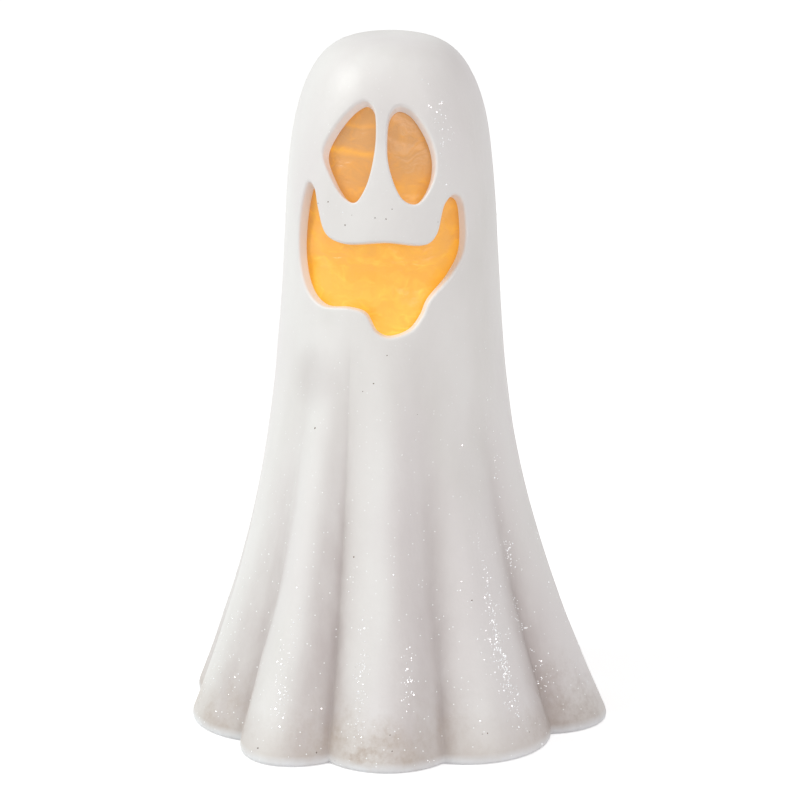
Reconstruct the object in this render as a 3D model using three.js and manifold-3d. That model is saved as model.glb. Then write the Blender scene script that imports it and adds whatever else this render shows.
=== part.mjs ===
// A light-up ghost for a table top: a hollow draped body with a cut-out face, an amber film behind the
// face, and a base plate that carries three cells, a slide switch and a lamp on a post.
// Millimetres, +Z up. The face looks along -Y, and the origin is the middle of the hem's footprint.
import * as THREE from "three";
import { mergeVertices } from "three/addons/utils/BufferGeometryUtils.js";
import Module from "manifold-3d";

const wasm = await Module();
wasm.setup();

// Driving dimensions, in millimetres and degrees. Angles are counted from the face, towards +X.
const seat = 0.3; // the gap left where one piece rests on another
const through = 1; // how far a cut runs past the face that it opens

const body = {
  height: 230,
  neckRadius: 34.6,
  domeHeight: 89,
  domePower: 3.45,
  flare: 29, // how much wider the skirt is at the table than at the neck, folds left out
  flareDrop: 28, // how far below the crown the flare starts
  flarePower: 2.32,
  foldPower: 1.27,
  lobePower: 0.75,
  wall: 3.5,
  hemRound: 3.4, // how high the hem's rounding climbs
  hemTuck: 2.4, // how far it draws the edge in, which leaves a narrow flat ring to stand on
  rebate: 8.5, // below this height the inner wall stands straight, to take the base plate
};

// The head leans a little off the middle of the hem, because the folds to the right reach further.
const headOffset = { x: -3, y: -0.3 };

// Each fold of the skirt: the valley before it, that valley's turn per 100 mm of height, how far the
// fold swells out at the hem, and how far below the crown it runs out.
const folds = [
  { valley: -164, turn: 0, swell: 8, runOut: 125 },
  { valley: -127.5, turn: 0, swell: 6.4, runOut: 125 },
  { valley: -84, turn: 2, swell: 6.6, runOut: 125 },
  { valley: -45, turn: 5, swell: 11, runOut: 108 },
  { valley: -14, turn: 0, swell: 6.8, runOut: 108 },
  { valley: 22.5, turn: 0, swell: 6.6, runOut: 118 },
  { valley: 71, turn: -12, swell: 11.6, runOut: 118 },
  { valley: 101, turn: -5, swell: 9.5, runOut: 125 },
  { valley: 132, turn: 0, swell: 8, runOut: 125 },
  { valley: 168, turn: 0, swell: 7.5, runOut: 125 },
];
const foldSteps = [0, 0.15, 0.38, 0.62, 0.85]; // where a fold has its facets, closer in the valleys

// The face's outlines, as a child would cut them: across along the surface, and down from the crown.
const leftEye = [
  [-5.6, 18.1], [-10.3, 20], [-18, 27.6], [-21.4, 34.4], [-17.8, 43.6],
  [-11.7, 48.3], [-7, 48.6], [-4.2, 43.6], [-2, 35.6], [-1.1, 26], [-2.4, 20.2],
];
const rightEye = [
  [7.7, 19.5], [4.4, 21.8], [3.1, 30], [4.1, 38.2], [8.3, 48.2], [13, 49.8],
  [18.6, 43.8], [20.2, 36], [18.6, 28.4], [12.8, 21],
];
const mouth = [
  [-26.6, 45], [-29.6, 50], [-31.4, 66], [-29, 75], [-24.6, 81], [-18.8, 84], [-9.5, 83.6],
  [-4, 85], [0, 91], [3.6, 92.5], [10.6, 90.4], [14.4, 86], [17, 80.8], [25, 73.2], [30.4, 66],
  [31.5, 57], [30.2, 49], [27, 47.3], [23.4, 49.8], [19.9, 59.6], [16.6, 62.4], [3, 61.4],
  [-13, 62.4], [-18.6, 60], [-22.2, 52], [-24.2, 46.2],
];

const film = {
  thickness: 0.5,
  clearance: 0.5,
  halfWidth: 38,
  top: 12, // down from the crown
  bottom: 100,
  crease: 1.1, // how deep its crinkles are
};

const plate = { recess: 3, thickness: 3, clearance: 0.5 };
const boss = { radius: 4.5, inset: 7.5, height: 14, web: 3, pilotRadius: 1.6, pilotDepth: 11 };
const bossFolds = [0, 2, 5, 8]; // the folds that hold a screw boss

const cell = { radius: 7.25, length: 50.5, nubRadius: 2.75, nubHeight: 1, gap: 0.7 };
const cellCount = 3;
const contact = { thickness: 0.4, width: 9, reach: 5.2, dimple: 0.8, dimpleRadius: 2.6 };
const lug = { width: 3, rise: 3.4 };
const spring = { length: 5.3, wire: 0.35, rootRadius: 4.6, tipRadius: 2.9, turns: 3.5 };
const bay = {
  wall: 1.6,
  headroom: 0.8,
  underCells: 0.6,
  rib: 1.6,
  ribReach: 5.5,
  ribStation: 14,
  hangingBoss: 2.4,
  hangingRadius: 2.2,
  rimRise: 1.3,
  corner: 2,
};

const door = {
  thickness: 2,
  ledge: 2.4,
  hookRise: 0.5, // how far above the door the ledge stands that its tabs hook over
  hookRoot: 1.6,
  slotRoom: 2.4, // the height above a tab that its slot leaves for the swing
  tabY: 12,
  tabWidth: 6,
  tabReach: 2.8,
  tabThickness: 1.2,
  tongueWidth: 14,
  tongueLength: 13,
  slit: 1.1,
  nibWidth: 7,
  nibHeight: 1.3,
  nibDepth: 1.4,
  gripCount: 4,
  gripPitch: 2.4,
  gripWidth: 9,
  gripRise: 0.5,
  play: 0.5,
};

const lever = { width: 6.5, depth: 5.2, height: 1.8, stem: 3, travel: 2.5, tip: 1.2, groove: 0.5 };
const slide = { room: 12, length: 13.4, depth: 7, height: 5.2, sheet: 0.4, ear: 4.8, earSheet: 0.6 };
const dish = { margin: 2.3, depth: 1.2, corner: 2.4 };
const pin = { width: 0.9, thickness: 0.5, pitch: 3, rise: 3.2 };
const insulatorThickness = 1.2;

const post = {
  height: 93,
  footRadius: 12,
  footThickness: 2.4,
  rootRadius: 4.9,
  neckRadius: 4.1,
  bore: 2.8,
  cupRadius: 8,
  cupDepth: 3,
  cupWall: 1.1,
  channelWidth: 5,
  channelHeight: 3.6,
  screwLength: 5,
};
const board = { thickness: 1, leadHole: 0.55 };
const led = { radius: 2.5, flangeRadius: 2.9, flangeHeight: 1, height: 8.6, leadPitch: 2.54 };
const lead = { radius: 0.25, length: 3 };
const resistor = { length: 3.2, width: 1.6, height: 0.6 };
const wire = { radius: 0.65 };

const screw = { radius: 1.3, headRadius: 2.6, headHeight: 1.6, length: 9, slot: 0.8, slotDepth: 0.9 };
const smallScrew = {
  radius: 0.9,
  headRadius: 1.9,
  headHeight: 1.2,
  length: 2.4,
  slot: 0.6,
  slotDepth: 0.6,
};
const pilotPlay = 0.3; // how much wider a pilot hole is than its screw, as drawn without threads

// Heights that follow from the sizes above
const domeStart = body.height - body.domeHeight;
const plateBottom = plate.recess;
const plateTop = plateBottom + plate.thickness;
const doorTop = plateBottom + door.thickness;
const cellHeight = doorTop + bay.underCells + cell.radius;
const roofBottom = cellHeight + cell.radius + bay.headroom;
const roofTop = roofBottom + bay.wall;
const bossBottom = plateTop + seat;

// Sizes of the battery bay that follow from the cells
const cellPitch = 2 * cell.radius + cell.gap;
const bayHalfWidth = (cellCount * cellPitch) / 2 + seat;
const contactRoom = seat + contact.thickness;
const bayHalfLength =
  (2 * contactRoom + contact.dimple + seat + cell.length + seat + spring.length + seat) / 2;
const doorHalfLength = bayHalfLength + door.ledge;
const doorHalfWidth = bayHalfWidth + door.ledge;
const plusTip = bayHalfLength - contactRoom - contact.dimple - seat;
const postScrewY = cellPitch / 2; // between two cells, where there is room for a screw

// Places of the switch that follow from the bay and the lever
const slideY = doorHalfWidth + bay.wall + slide.room;
const slotHalfLength = (lever.stem + lever.travel) / 2 + seat;
const slotHalfWidth = lever.stem / 2 + seat;
const earScrewX = (slide.length + slide.ear) / 2;
const carriageBottom = slide.earSheet + seat;
const carriageTop = carriageBottom + lever.height;

const clamp = THREE.MathUtils.clamp;
const mix = THREE.MathUtils.lerp;
const radians = THREE.MathUtils.degToRad;

// Colours and finishes
function plastic(color, roughness = 0.5) {
  return new THREE.MeshStandardMaterial({ color, roughness, metalness: 0 });
}
function metal(color, roughness = 0.35) {
  return new THREE.MeshStandardMaterial({ color, roughness, metalness: 1 });
}
const materials = {
  body: plastic(0xe9e6e1, 0.45),
  film: new THREE.MeshStandardMaterial({
    color: 0xf8a83a,
    roughness: 0.3,
    metalness: 0,
    emissive: 0xf09020,
    transparent: true,
    opacity: 0.9,
  }),
  base: plastic(0xe4e1da, 0.55),
  door: plastic(0xe2dfd8, 0.55),
  steel: metal(0xb9bcc0),
  nickel: metal(0xc9c6bd, 0.3),
  jacket: plastic(0x3f6f63, 0.4),
  black: plastic(0x1c1c1e, 0.5),
  laminate: plastic(0x8a6a3c, 0.7),
  mask: plastic(0xf1efe6, 0.5),
  lens: plastic(0xfff0c8, 0.15),
  red: plastic(0xb3241f, 0.45),
};

// A three.js geometry as a solid for joins and cuts
function solid(geometry) {
  const bare = geometry.index ? geometry.toNonIndexed() : geometry.clone();
  bare.deleteAttribute("normal");
  bare.deleteAttribute("uv");
  const merged = mergeVertices(bare, 1e-4);
  return new wasm.Manifold(
    new wasm.Mesh({
      numProp: 3,
      vertProperties: merged.attributes.position.array,
      triVerts: new Uint32Array(merged.index.array),
    }),
  );
}

// A solid back as a flat-shaded three.js geometry
function geometryOf(manifold) {
  const { vertProperties, triVerts } = manifold.getMesh();
  const geometry = new THREE.BufferGeometry();
  geometry.setAttribute("position", new THREE.BufferAttribute(new Float32Array(vertProperties), 3));
  geometry.setIndex(new THREE.BufferAttribute(new Uint32Array(triVerts), 1));
  const faceted = geometry.toNonIndexed();
  faceted.computeVertexNormals();
  return faceted;
}

function piece(name, manifold, material) {
  const mesh = new THREE.Mesh(geometryOf(manifold), material);
  mesh.name = name;
  return mesh;
}

// Simple solids: a block between two corners, an upright cylinder, a revolve and an upright extrusion
function block([x0, y0, z0], [x1, y1, z1]) {
  const geometry = new THREE.BoxGeometry(x1 - x0, y1 - y0, z1 - z0);
  return solid(geometry.translate((x0 + x1) / 2, (y0 + y1) / 2, (z0 + z1) / 2));
}
function cylinder(radius, z0, z1, sides = 20) {
  const geometry = new THREE.CylinderGeometry(radius, radius, z1 - z0, sides);
  return solid(geometry.rotateX(Math.PI / 2).translate(0, 0, (z0 + z1) / 2));
}
function revolve(profile, sides = 24) {
  const points = profile.map(([r, z]) => new THREE.Vector2(r, z));
  return solid(new THREE.LatheGeometry(points, sides).rotateX(Math.PI / 2));
}
function extrude(shape, z0, z1) {
  const settings = { depth: z1 - z0, bevelEnabled: false, curveSegments: 3 };
  return solid(new THREE.ExtrudeGeometry(shape, settings).translate(0, 0, z0));
}
function roundedRectangle(halfLength, halfWidth, corner) {
  const shape = new THREE.Shape();
  shape.moveTo(-halfLength + corner, -halfWidth);
  shape.lineTo(halfLength - corner, -halfWidth);
  shape.absarc(halfLength - corner, -halfWidth + corner, corner, -Math.PI / 2, 0);
  shape.lineTo(halfLength, halfWidth - corner);
  shape.absarc(halfLength - corner, halfWidth - corner, corner, 0, Math.PI / 2);
  shape.lineTo(-halfLength + corner, halfWidth);
  shape.absarc(-halfLength + corner, halfWidth - corner, corner, Math.PI / 2, Math.PI);
  shape.lineTo(-halfLength, -halfWidth + corner);
  shape.absarc(-halfLength + corner, -halfWidth + corner, corner, Math.PI, 1.5 * Math.PI);
  return shape;
}

// The draped surface. Shrink 0 is the outside, and shrink equal to the wall is the inside.
function bodyRadius(z, shrink) {
  const flareTop = body.height - body.flareDrop;
  const rise = Math.max(0, (flareTop - z) / flareTop);
  const skirt = body.neckRadius - shrink + body.flare * rise ** body.flarePower;
  const share = clamp((z - domeStart) / (body.domeHeight - shrink), 0, 1);
  return skirt * (1 - share ** body.domePower) ** (1 / body.domePower);
}
function valleyAngle(i, z) {
  const fold = folds[i % folds.length];
  const wraps = i >= folds.length ? 360 : 0;
  return radians(fold.valley + wraps + (fold.turn * Math.min(z, domeStart)) / 100);
}
function foldSwell(i, share, z) {
  const fold = folds[i];
  const top = body.height - fold.runOut;
  const fade = Math.max(0, (top - z) / top) ** body.foldPower;
  return fold.swell * fade * Math.max(0, Math.sin(Math.PI * share)) ** body.lobePower;
}
function surfaceRadius(angle, z, shrink) {
  for (let i = 0; i < folds.length; i++) {
    const from = valleyAngle(i, z);
    const width = valleyAngle(i + 1, z) - from;
    const past = THREE.MathUtils.euclideanModulo(angle - from, 2 * Math.PI);
    if (past < width) return bodyRadius(z, shrink) + foldSwell(i, past / width, z);
  }
  return bodyRadius(z, shrink);
}
function polar(radius, angle, z) {
  return [radius * Math.sin(angle), -radius * Math.cos(angle), z];
}
// One ring of the surface, with its points on the fold lines, laid at a height of its own if asked
function foldRing(z, shrink, inset = 0, laidAt = z) {
  return folds.flatMap((fold, i) =>
    foldSteps.map((share) => {
      const angle = mix(valleyAngle(i, z), valleyAngle(i + 1, z), share);
      const radius = bodyRadius(z, shrink) + foldSwell(i, share, z) - inset;
      return polar(radius, angle, laidAt);
    }),
  );
}
// A closed solid from rings that climb, with a flat foot and a pole at the crown
function stackRings(rings, crown) {
  const count = rings[0].length;
  const points = [...rings.flat(), [0, 0, rings[0][0][2]], [0, 0, crown]];
  const foot = points.length - 2;
  const pole = points.length - 1;
  const last = (rings.length - 1) * count;
  const faces = [];
  for (let j = 0; j < count; j++) {
    const next = (j + 1) % count;
    faces.push(foot, next, j, last + j, last + next, pole);
    for (let i = 0; i < rings.length - 1; i++) {
      const low = i * count;
      const high = low + count;
      faces.push(low + j, low + next, high + next, low + j, high + next, high + j);
    }
  }
  const geometry = new THREE.BufferGeometry();
  geometry.setAttribute("position", new THREE.Float32BufferAttribute(points.flat(), 3));
  geometry.setIndex(faces);
  return solid(geometry);
}
function skirtHeights(from, count) {
  return Array.from({ length: count }, (_, i) => mix(from, domeStart, (i + 1) / count));
}
// Heights up the dome, closing in on the crown so that the facets stay even
function domeHeights(shrink, count) {
  const climb = (i) => Math.sin(((i + 1) / (count + 0.6)) * (Math.PI / 2)) ** (2 / body.domePower);
  return Array.from({ length: count }, (_, i) => domeStart + (body.domeHeight - shrink) * climb(i));
}

function drapedOutside() {
  const hemRings = [0, 0.33, 0.67, 1].map((share) => {
    const turn = (share * Math.PI) / 2;
    const z = body.hemRound * (1 - Math.cos(turn));
    return foldRing(z, 0, body.hemTuck * (1 - Math.sin(turn)));
  });
  const heights = [...skirtHeights(body.hemRound, 11), ...domeHeights(0, 11)];
  return stackRings([...hemRings, ...heights.map((z) => foldRing(z, 0))], body.height);
}
function drapedInside() {
  const foot = foldRing(body.rebate, body.wall, 0, -through);
  const heights = [body.rebate, ...skirtHeights(body.rebate, 7), ...domeHeights(body.wall, 8)];
  const rings = [foot, ...heights.map((z) => foldRing(z, body.wall))];
  return stackRings(rings, body.height - body.wall);
}

// A flat outline bent round the head and pushed straight in towards its axis
function faceCutter(outline, samples) {
  const points = outline.map(([across, down]) => new THREE.Vector3(across, body.height - down, 0));
  const curve = new THREE.CatmullRomCurve3(points, true);
  const edge = curve.getSpacedPoints(samples).slice(0, -1);
  const shape = new THREE.Shape(edge.map((p) => new THREE.Vector2(p.x, p.y)));
  const [near, far] = [body.neckRadius * 0.3, body.neckRadius * 2.6];
  const geometry = new THREE.ExtrudeGeometry(shape, { depth: far - near, bevelEnabled: false });
  const place = geometry.attributes.position;
  for (let i = 0; i < place.count; i++) {
    const angle = place.getX(i) / body.neckRadius;
    place.setXYZ(i, ...polar(near + place.getZ(i), angle, place.getY(i)));
  }
  return solid(geometry);
}

// The hole for a small screw, as drawn without threads
function smallPilot(z0, z1) {
  return cylinder(smallScrew.radius + pilotPlay, z0, z1, 10);
}

// Where the base plate's screws go: up into a boss inside a fold
function bossPlaces() {
  return bossFolds.map((i) => {
    const angle = (valleyAngle(i, 0) + valleyAngle(i + 1, 0)) / 2;
    const reach = surfaceRadius(angle, body.rebate, body.wall) - boss.inset;
    const [x, y] = polar(reach, angle, 0);
    return { x, y, angle };
  });
}
function screwBoss({ x, y, angle }) {
  const top = bossBottom + boss.height;
  const stud = cylinder(boss.radius, bossBottom, top, 16);
  const wide = boss.web / 2;
  const web = block([-wide, -boss.inset - body.wall, bossBottom], [wide, 0, top]);
  return stud.add(web).rotate([0, 0, THREE.MathUtils.radToDeg(angle)]).translate([x, y, 0]);
}
function pilotHole(place) {
  const hole = cylinder(boss.pilotRadius, bossBottom - through, bossBottom + boss.pilotDepth, 10);
  return hole.translate([place.x, place.y, 0]);
}

function ghostShell() {
  const outside = drapedOutside();
  let shell = outside.subtract(drapedInside());
  for (const place of bossPlaces()) shell = shell.add(screwBoss(place).intersect(outside));
  for (const place of bossPlaces()) shell = shell.subtract(pilotHole(place));
  for (const eye of [leftEye, rightEye]) shell = shell.subtract(faceCutter(eye, 26));
  return shell.subtract(faceCutter(mouth, 58));
}

// The film's crinkles: folds that run across, bent by slower ones, never outwards
function crinkle(across, z) {
  const run = Math.abs(Math.sin(0.2 * z + 1.1 * Math.sin(0.11 * across)));
  const cross = Math.abs(Math.sin(0.13 * across + 0.07 * z));
  return film.crease * (0.6 * (1 - run) + 0.4 * (1 - cross));
}
// A sheet bent to the inside of the head, as two skins closed at the edges
function faceFilm() {
  const columns = 18;
  const rows = 16;
  const skins = [film.clearance, film.clearance + film.thickness];
  const points = skins.flatMap((depth) =>
    Array.from({ length: (columns + 1) * (rows + 1) }, (_, k) => {
      const across = mix(-film.halfWidth, film.halfWidth, (k % (columns + 1)) / columns);
      const drop = mix(film.bottom, film.top, Math.floor(k / (columns + 1)) / rows);
      const z = body.height - drop;
      const angle = across / body.neckRadius;
      const radius = surfaceRadius(angle, z, body.wall) - depth - crinkle(across, z);
      return polar(radius, angle, z);
    }),
  );
  const back = (columns + 1) * (rows + 1);
  const at = (column, row) => row * (columns + 1) + column;
  const faces = [];
  const quad = (a, b, c, d) => faces.push(a, b, c, a, c, d);
  for (let row = 0; row < rows; row++) {
    for (let column = 0; column < columns; column++) {
      const [left, right] = [at(column, row), at(column + 1, row)];
      const corners = [left, right, right + columns + 1, left + columns + 1];
      quad(...corners);
      quad(...corners.map((k) => k + back).reverse());
    }
    const [low, high] = [at(0, row), at(0, row + 1)];
    quad(low, high, high + back, low + back);
    const [lowEnd, highEnd] = [at(columns, row), at(columns, row + 1)];
    quad(highEnd, lowEnd, lowEnd + back, highEnd + back);
  }
  for (let column = 0; column < columns; column++) {
    const [a, b] = [at(column, 0), at(column + 1, 0)];
    quad(b, a, a + back, b + back);
    const [c, d] = [at(column, rows), at(column + 1, rows)];
    quad(c, d, d + back, c + back);
  }
  const geometry = new THREE.BufferGeometry();
  geometry.setAttribute("position", new THREE.Float32BufferAttribute(points.flat(), 3));
  geometry.setIndex(faces);
  return solid(geometry);
}

// The bay for the cells stands on the plate, with a raised rim round the door's pocket
function batteryBay() {
  const foot = plateBottom + plate.thickness / 2;
  const wellShape = roundedRectangle(bayHalfLength + bay.wall, bayHalfWidth + bay.wall, bay.corner);
  const rimLength = doorHalfLength + door.tabReach + bay.wall;
  const rimShape = roundedRectangle(rimLength, doorHalfWidth + bay.wall, bay.corner);
  return extrude(wellShape, foot, roofTop).add(extrude(rimShape, foot, plateTop + bay.rimRise));
}
function bayHollow() {
  const pocket = block(
    [-doorHalfLength - seat, -doorHalfWidth - seat, plateBottom - through],
    [doorHalfLength + seat, doorHalfWidth + seat, doorTop + seat],
  );
  const inside = block(
    [-bayHalfLength, -bayHalfWidth, plateBottom],
    [bayHalfLength, bayHalfWidth, roofBottom],
  );
  return pocket.add(inside);
}
// Cross ribs under the roof, scooped to the cells, and the bosses that take the post's screws
function bayRibs() {
  const reach = [roofBottom - bay.ribReach, roofBottom + bay.wall / 2];
  let ribs = null;
  for (const x of [-bay.ribStation, bay.ribStation]) {
    const half = [bay.rib / 2, bayHalfWidth + seat];
    const rib = block([x - half[0], -half[1], reach[0]], [x + half[0], half[1], reach[1]]);
    ribs = ribs ? ribs.add(rib) : rib;
  }
  for (const y of [-postScrewY, postScrewY]) {
    const low = roofBottom - bay.hangingBoss;
    const hanging = cylinder(bay.hangingRadius, low, roofBottom + bay.wall / 2, 12);
    ribs = ribs.add(hanging.translate([0, y, 0]));
  }
  for (let i = 0; i < cellCount; i++) {
    const reachAcross = cell.radius + seat;
    const scoop = new THREE.CylinderGeometry(reachAcross, reachAcross, 2 * bayHalfLength, 18);
    const y = (i - (cellCount - 1) / 2) * cellPitch;
    ribs = ribs.subtract(solid(scoop.rotateZ(Math.PI / 2).translate(0, y, cellHeight)));
  }
  return ribs;
}
// The slots that let the door's tabs swing, and the ledge under each that they hook over
function tabSlots() {
  const wide = door.tabWidth / 2 + door.play;
  const [near, edge] = [bayHalfLength - seat, doorHalfLength + seat];
  const far = doorHalfLength + door.tabReach + door.play;
  const top = doorTop + door.tabThickness + door.slotRoom;
  const slot = (y) => {
    const over = block([-far, y - wide, doorTop + door.hookRise], [-near, y + wide, top]);
    return over.add(block([-edge, y - wide, doorTop], [-near, y + wide, top]));
  };
  return slot(-door.tabY).add(slot(door.tabY));
}
// The pocket that the door's nib clicks into
function nibPocket() {
  const wide = door.nibWidth / 2 + door.play;
  const top = doorTop + door.nibHeight + seat;
  return block([bayHalfLength - seat, -wide, doorTop], [doorHalfLength + seat, wide, top]);
}
// A screw's hole with its sunk head
function sunkScrewHole() {
  const sunk = plateBottom + screw.headHeight + seat;
  const sink = cylinder(screw.headRadius + seat, plateBottom - through, sunk, 14);
  return sink.add(cylinder(screw.radius + pilotPlay, plateBottom, plateTop + through, 10));
}
// The switch's slot, the dish that a finger reaches into, and the pilot holes of its two screws
function switchCuts() {
  const [long, wide] = [slotHalfLength + dish.margin, slotHalfWidth + dish.margin];
  const dishShape = roundedRectangle(long, wide, dish.corner);
  const hollow = extrude(dishShape, plateBottom - through, plateBottom + dish.depth);
  const slot = block(
    [-slotHalfLength, -slotHalfWidth, plateBottom],
    [slotHalfLength, slotHalfWidth, plateTop + through],
  );
  let cuts = hollow.add(slot);
  for (const x of [-earScrewX, earScrewX]) {
    cuts = cuts.add(smallPilot(plateTop - smallScrew.length, plateTop + through).translate([x, 0, 0]));
  }
  return cuts.translate([0, slideY, 0]);
}
// The slot in the bay's roof that a contact's lug comes up through
function lugSlot(side) {
  const x = side * (bayHalfLength - seat - contact.thickness / 2);
  const y = -side * cellPitch;
  const half = [contact.thickness / 2 + seat, lug.width / 2 + seat];
  const low = [x - half[0], y - half[1], roofBottom - through];
  return block(low, [x + half[0], y + half[1], roofTop + through]);
}
function basePlate() {
  const outline = foldRing(body.rebate, body.wall, plate.clearance);
  const shape = new THREE.Shape(outline.map(([x, y]) => new THREE.Vector2(x, y)));
  let made = extrude(shape, plateBottom, plateTop).add(batteryBay());
  made = made.subtract(bayHollow()).add(bayRibs()).subtract(tabSlots()).subtract(nibPocket());
  for (const { x, y } of bossPlaces()) made = made.subtract(sunkScrewHole().translate([x, y, 0]));
  for (const y of [-postScrewY, postScrewY]) {
    const pilot = smallPilot(roofBottom - bay.hangingBoss - through, roofTop + through);
    made = made.subtract(pilot.translate([0, y, 0]));
  }
  return made.subtract(switchCuts()).subtract(lugSlot(1)).subtract(lugSlot(-1));
}

// The door turns on the lower edge of its end at -X, where its two tabs hook over the plate
function batteryDoor() {
  let made = extrude(roundedRectangle(doorHalfLength, doorHalfWidth, 1), 0, door.thickness);
  const end = -doorHalfLength;
  const under = door.thickness + door.hookRise + seat;
  const over = under + door.tabThickness;
  for (const y of [-door.tabY, door.tabY]) {
    const [from, to] = [y - door.tabWidth / 2, y + door.tabWidth / 2];
    const root = end + seat + door.hookRoot;
    made = made.add(block([end + seat, from, door.thickness / 2], [root, to, over]));
    made = made.add(block([end - door.tabReach, from, under], [root, to, over]));
  }
  // The tongue is freed by two slits and carries the nib and its grip ribs
  const inner = doorHalfLength - door.tongueLength;
  for (const y of [-door.tongueWidth / 2, door.tongueWidth / 2]) {
    const [from, to] = [y - door.slit / 2, y + door.slit / 2];
    const low = [inner, from, -through];
    made = made.subtract(block(low, [doorHalfLength + through, to, door.thickness + through]));
  }
  const nibHalf = door.nibWidth / 2;
  const nibLow = [doorHalfLength - door.nibDepth, -nibHalf, door.thickness / 2];
  made = made.add(block(nibLow, [doorHalfLength, nibHalf, door.thickness + door.nibHeight]));
  for (let i = 0; i < door.gripCount; i++) {
    const x = inner + (i + 1) * door.gripPitch;
    const [low, high] = [-door.gripWidth / 2, door.gripWidth / 2];
    made = made.add(block([x, low, -door.gripRise], [x + door.gripPitch / 2, high, door.thickness / 2]));
  }
  return made;
}

// A dry cell along +X, its plus tip at the origin
function dryCell() {
  const [r, n, end] = [cell.radius, cell.nubRadius, cell.length];
  const shoulder = end - cell.nubHeight;
  const profile = [
    [0, 0], [n + 1.4, 0], [n + 1.4, 0.3], [r - 0.5, 0.3], [r, 0.8],
    [r, shoulder - 0.9], [r - 0.6, shoulder], [n, shoulder], [n, end - 0.2], [n - 0.3, end], [0, end],
  ];
  const geometry = new THREE.LatheGeometry(profile.map(([x, y]) => new THREE.Vector2(x, y)), 16);
  return solid(geometry.rotateZ(-Math.PI / 2).translate(-end, 0, 0));
}

// A contact plate that faces +X: seats lists what each cell meets on it, a tab's dimple or a spring
function contactPlate(seats, withLug) {
  const ys = seats.map((s) => s.y);
  const half = contact.width / 2;
  const [from, to] = [Math.min(...ys) - half, Math.max(...ys) + half];
  let made = block([0, from, -contact.reach], [contact.thickness, to, contact.reach]);
  for (const { y, dimple } of seats) {
    if (!dimple) continue;
    const [wide, high] = [contact.dimpleRadius, contact.dimple];
    const bump = revolve([[0, -0.2], [wide, -0.2], [wide * 0.6, high], [0, high]], 10);
    made = made.add(bump.rotate([0, 90, 0]).translate([contact.thickness, y, 0]));
  }
  if (withLug) {
    const [near, far] = [ys[0] - lug.width / 2, ys[0] + lug.width / 2];
    const top = roofTop + lug.rise - cellHeight;
    made = made.add(block([0, near, contact.reach / 2], [contact.thickness, far, top]));
  }
  return made;
}

// A round section with straight sides
function roundSection(radius, sides) {
  const corner = (_, i) => {
    const turn = (i / sides) * 2 * Math.PI;
    return new THREE.Vector2(radius * Math.cos(turn), radius * Math.sin(turn));
  };
  return new THREE.Shape(Array.from({ length: sides }, corner));
}

// The wound spring along +X: one unbroken wire on a cone, eight points a turn
function springPoint(share) {
  const radius = mix(spring.rootRadius, spring.tipRadius, share);
  const angle = share * spring.turns * 2 * Math.PI;
  const climb = mix(spring.wire, spring.length - spring.wire, share);
  return new THREE.Vector3(climb, radius * Math.cos(angle), radius * Math.sin(angle));
}
class SpringCurve extends THREE.Curve {
  getPoint(share, target = new THREE.Vector3()) {
    return target.copy(springPoint(share));
  }
}
function contactSpring() {
  const steps = Math.round(spring.turns * 8);
  const extrudePath = new SpringCurve();
  return solid(new THREE.ExtrudeGeometry(roundSection(spring.wire, 5), { steps, extrudePath }));
}
// The least gap between turns of the spring, measured on points more than half a turn apart
function springGap() {
  const count = 200;
  const points = Array.from({ length: count }, (_, i) => springPoint(i / (count - 1)));
  const apart = Math.round(count / spring.turns / 2);
  let least = Infinity;
  for (let i = 0; i < count; i++) {
    for (let j = i + apart; j < count; j++) least = Math.min(least, points[i].distanceTo(points[j]));
  }
  return least - 2 * spring.wire;
}

// A pan-head screw that points up, its head's underside at z 0, with a cross recess
function panScrew(s) {
  const profile = [
    [0, -s.headHeight], [s.headRadius - 0.5, -s.headHeight], [s.headRadius, -s.headHeight + 0.5],
    [s.headRadius, 0], [s.radius, 0], [s.radius, s.length - s.radius], [0.2, s.length], [0, s.length],
  ];
  const reach = s.headRadius * 0.62;
  const [top, bottom] = [-s.headHeight + s.slotDepth, -s.headHeight - through];
  const bar = block([-reach, -s.slot / 2, bottom], [reach, s.slot / 2, top]);
  return revolve(profile, 8).subtract(bar).subtract(bar.rotate([0, 0, 90]));
}

// The slide switch's own frame: z 0 on the plate, the lever's stem hanging down through it
function switchFrame() {
  const [l, d] = [slide.length / 2, slide.depth / 2];
  const t = slide.sheet;
  let made = block([-l, -d, 0], [l, d, slide.height]);
  made = made.add(block([-l - slide.ear, -d, 0], [l + slide.ear, d, slide.earSheet]));
  made = made.subtract(block([-l + t, -d + t, slide.earSheet], [l - t, d - t, slide.height + through]));
  const past = slide.earSheet + through;
  made = made.subtract(
    block([-slotHalfLength, -slotHalfWidth, -through], [slotHalfLength, slotHalfWidth, past]),
  );
  for (const x of [-earScrewX, earScrewX]) {
    made = made.subtract(smallPilot(-through, past).translate([x, 0, 0]));
  }
  return made;
}
function switchInsulator() {
  const [l, d] = [slide.length / 2 - slide.sheet - seat, slide.depth / 2 - slide.sheet - seat];
  const bottom = slide.height - insulatorThickness;
  let made = block([-l, -d, bottom], [l, d, slide.height]);
  for (const i of [-1, 0, 1]) {
    const half = [pin.thickness / 2 + seat, pin.width / 2 + seat];
    const x = i * pin.pitch;
    const high = [x + half[0], half[1], slide.height + through];
    made = made.subtract(block([x - half[0], -half[1], bottom - through], high));
  }
  return made;
}
function switchPin() {
  const half = [pin.thickness / 2, pin.width / 2];
  return block([-half[0], -half[1], carriageTop + seat], [half[0], half[1], slide.height + pin.rise]);
}
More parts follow.
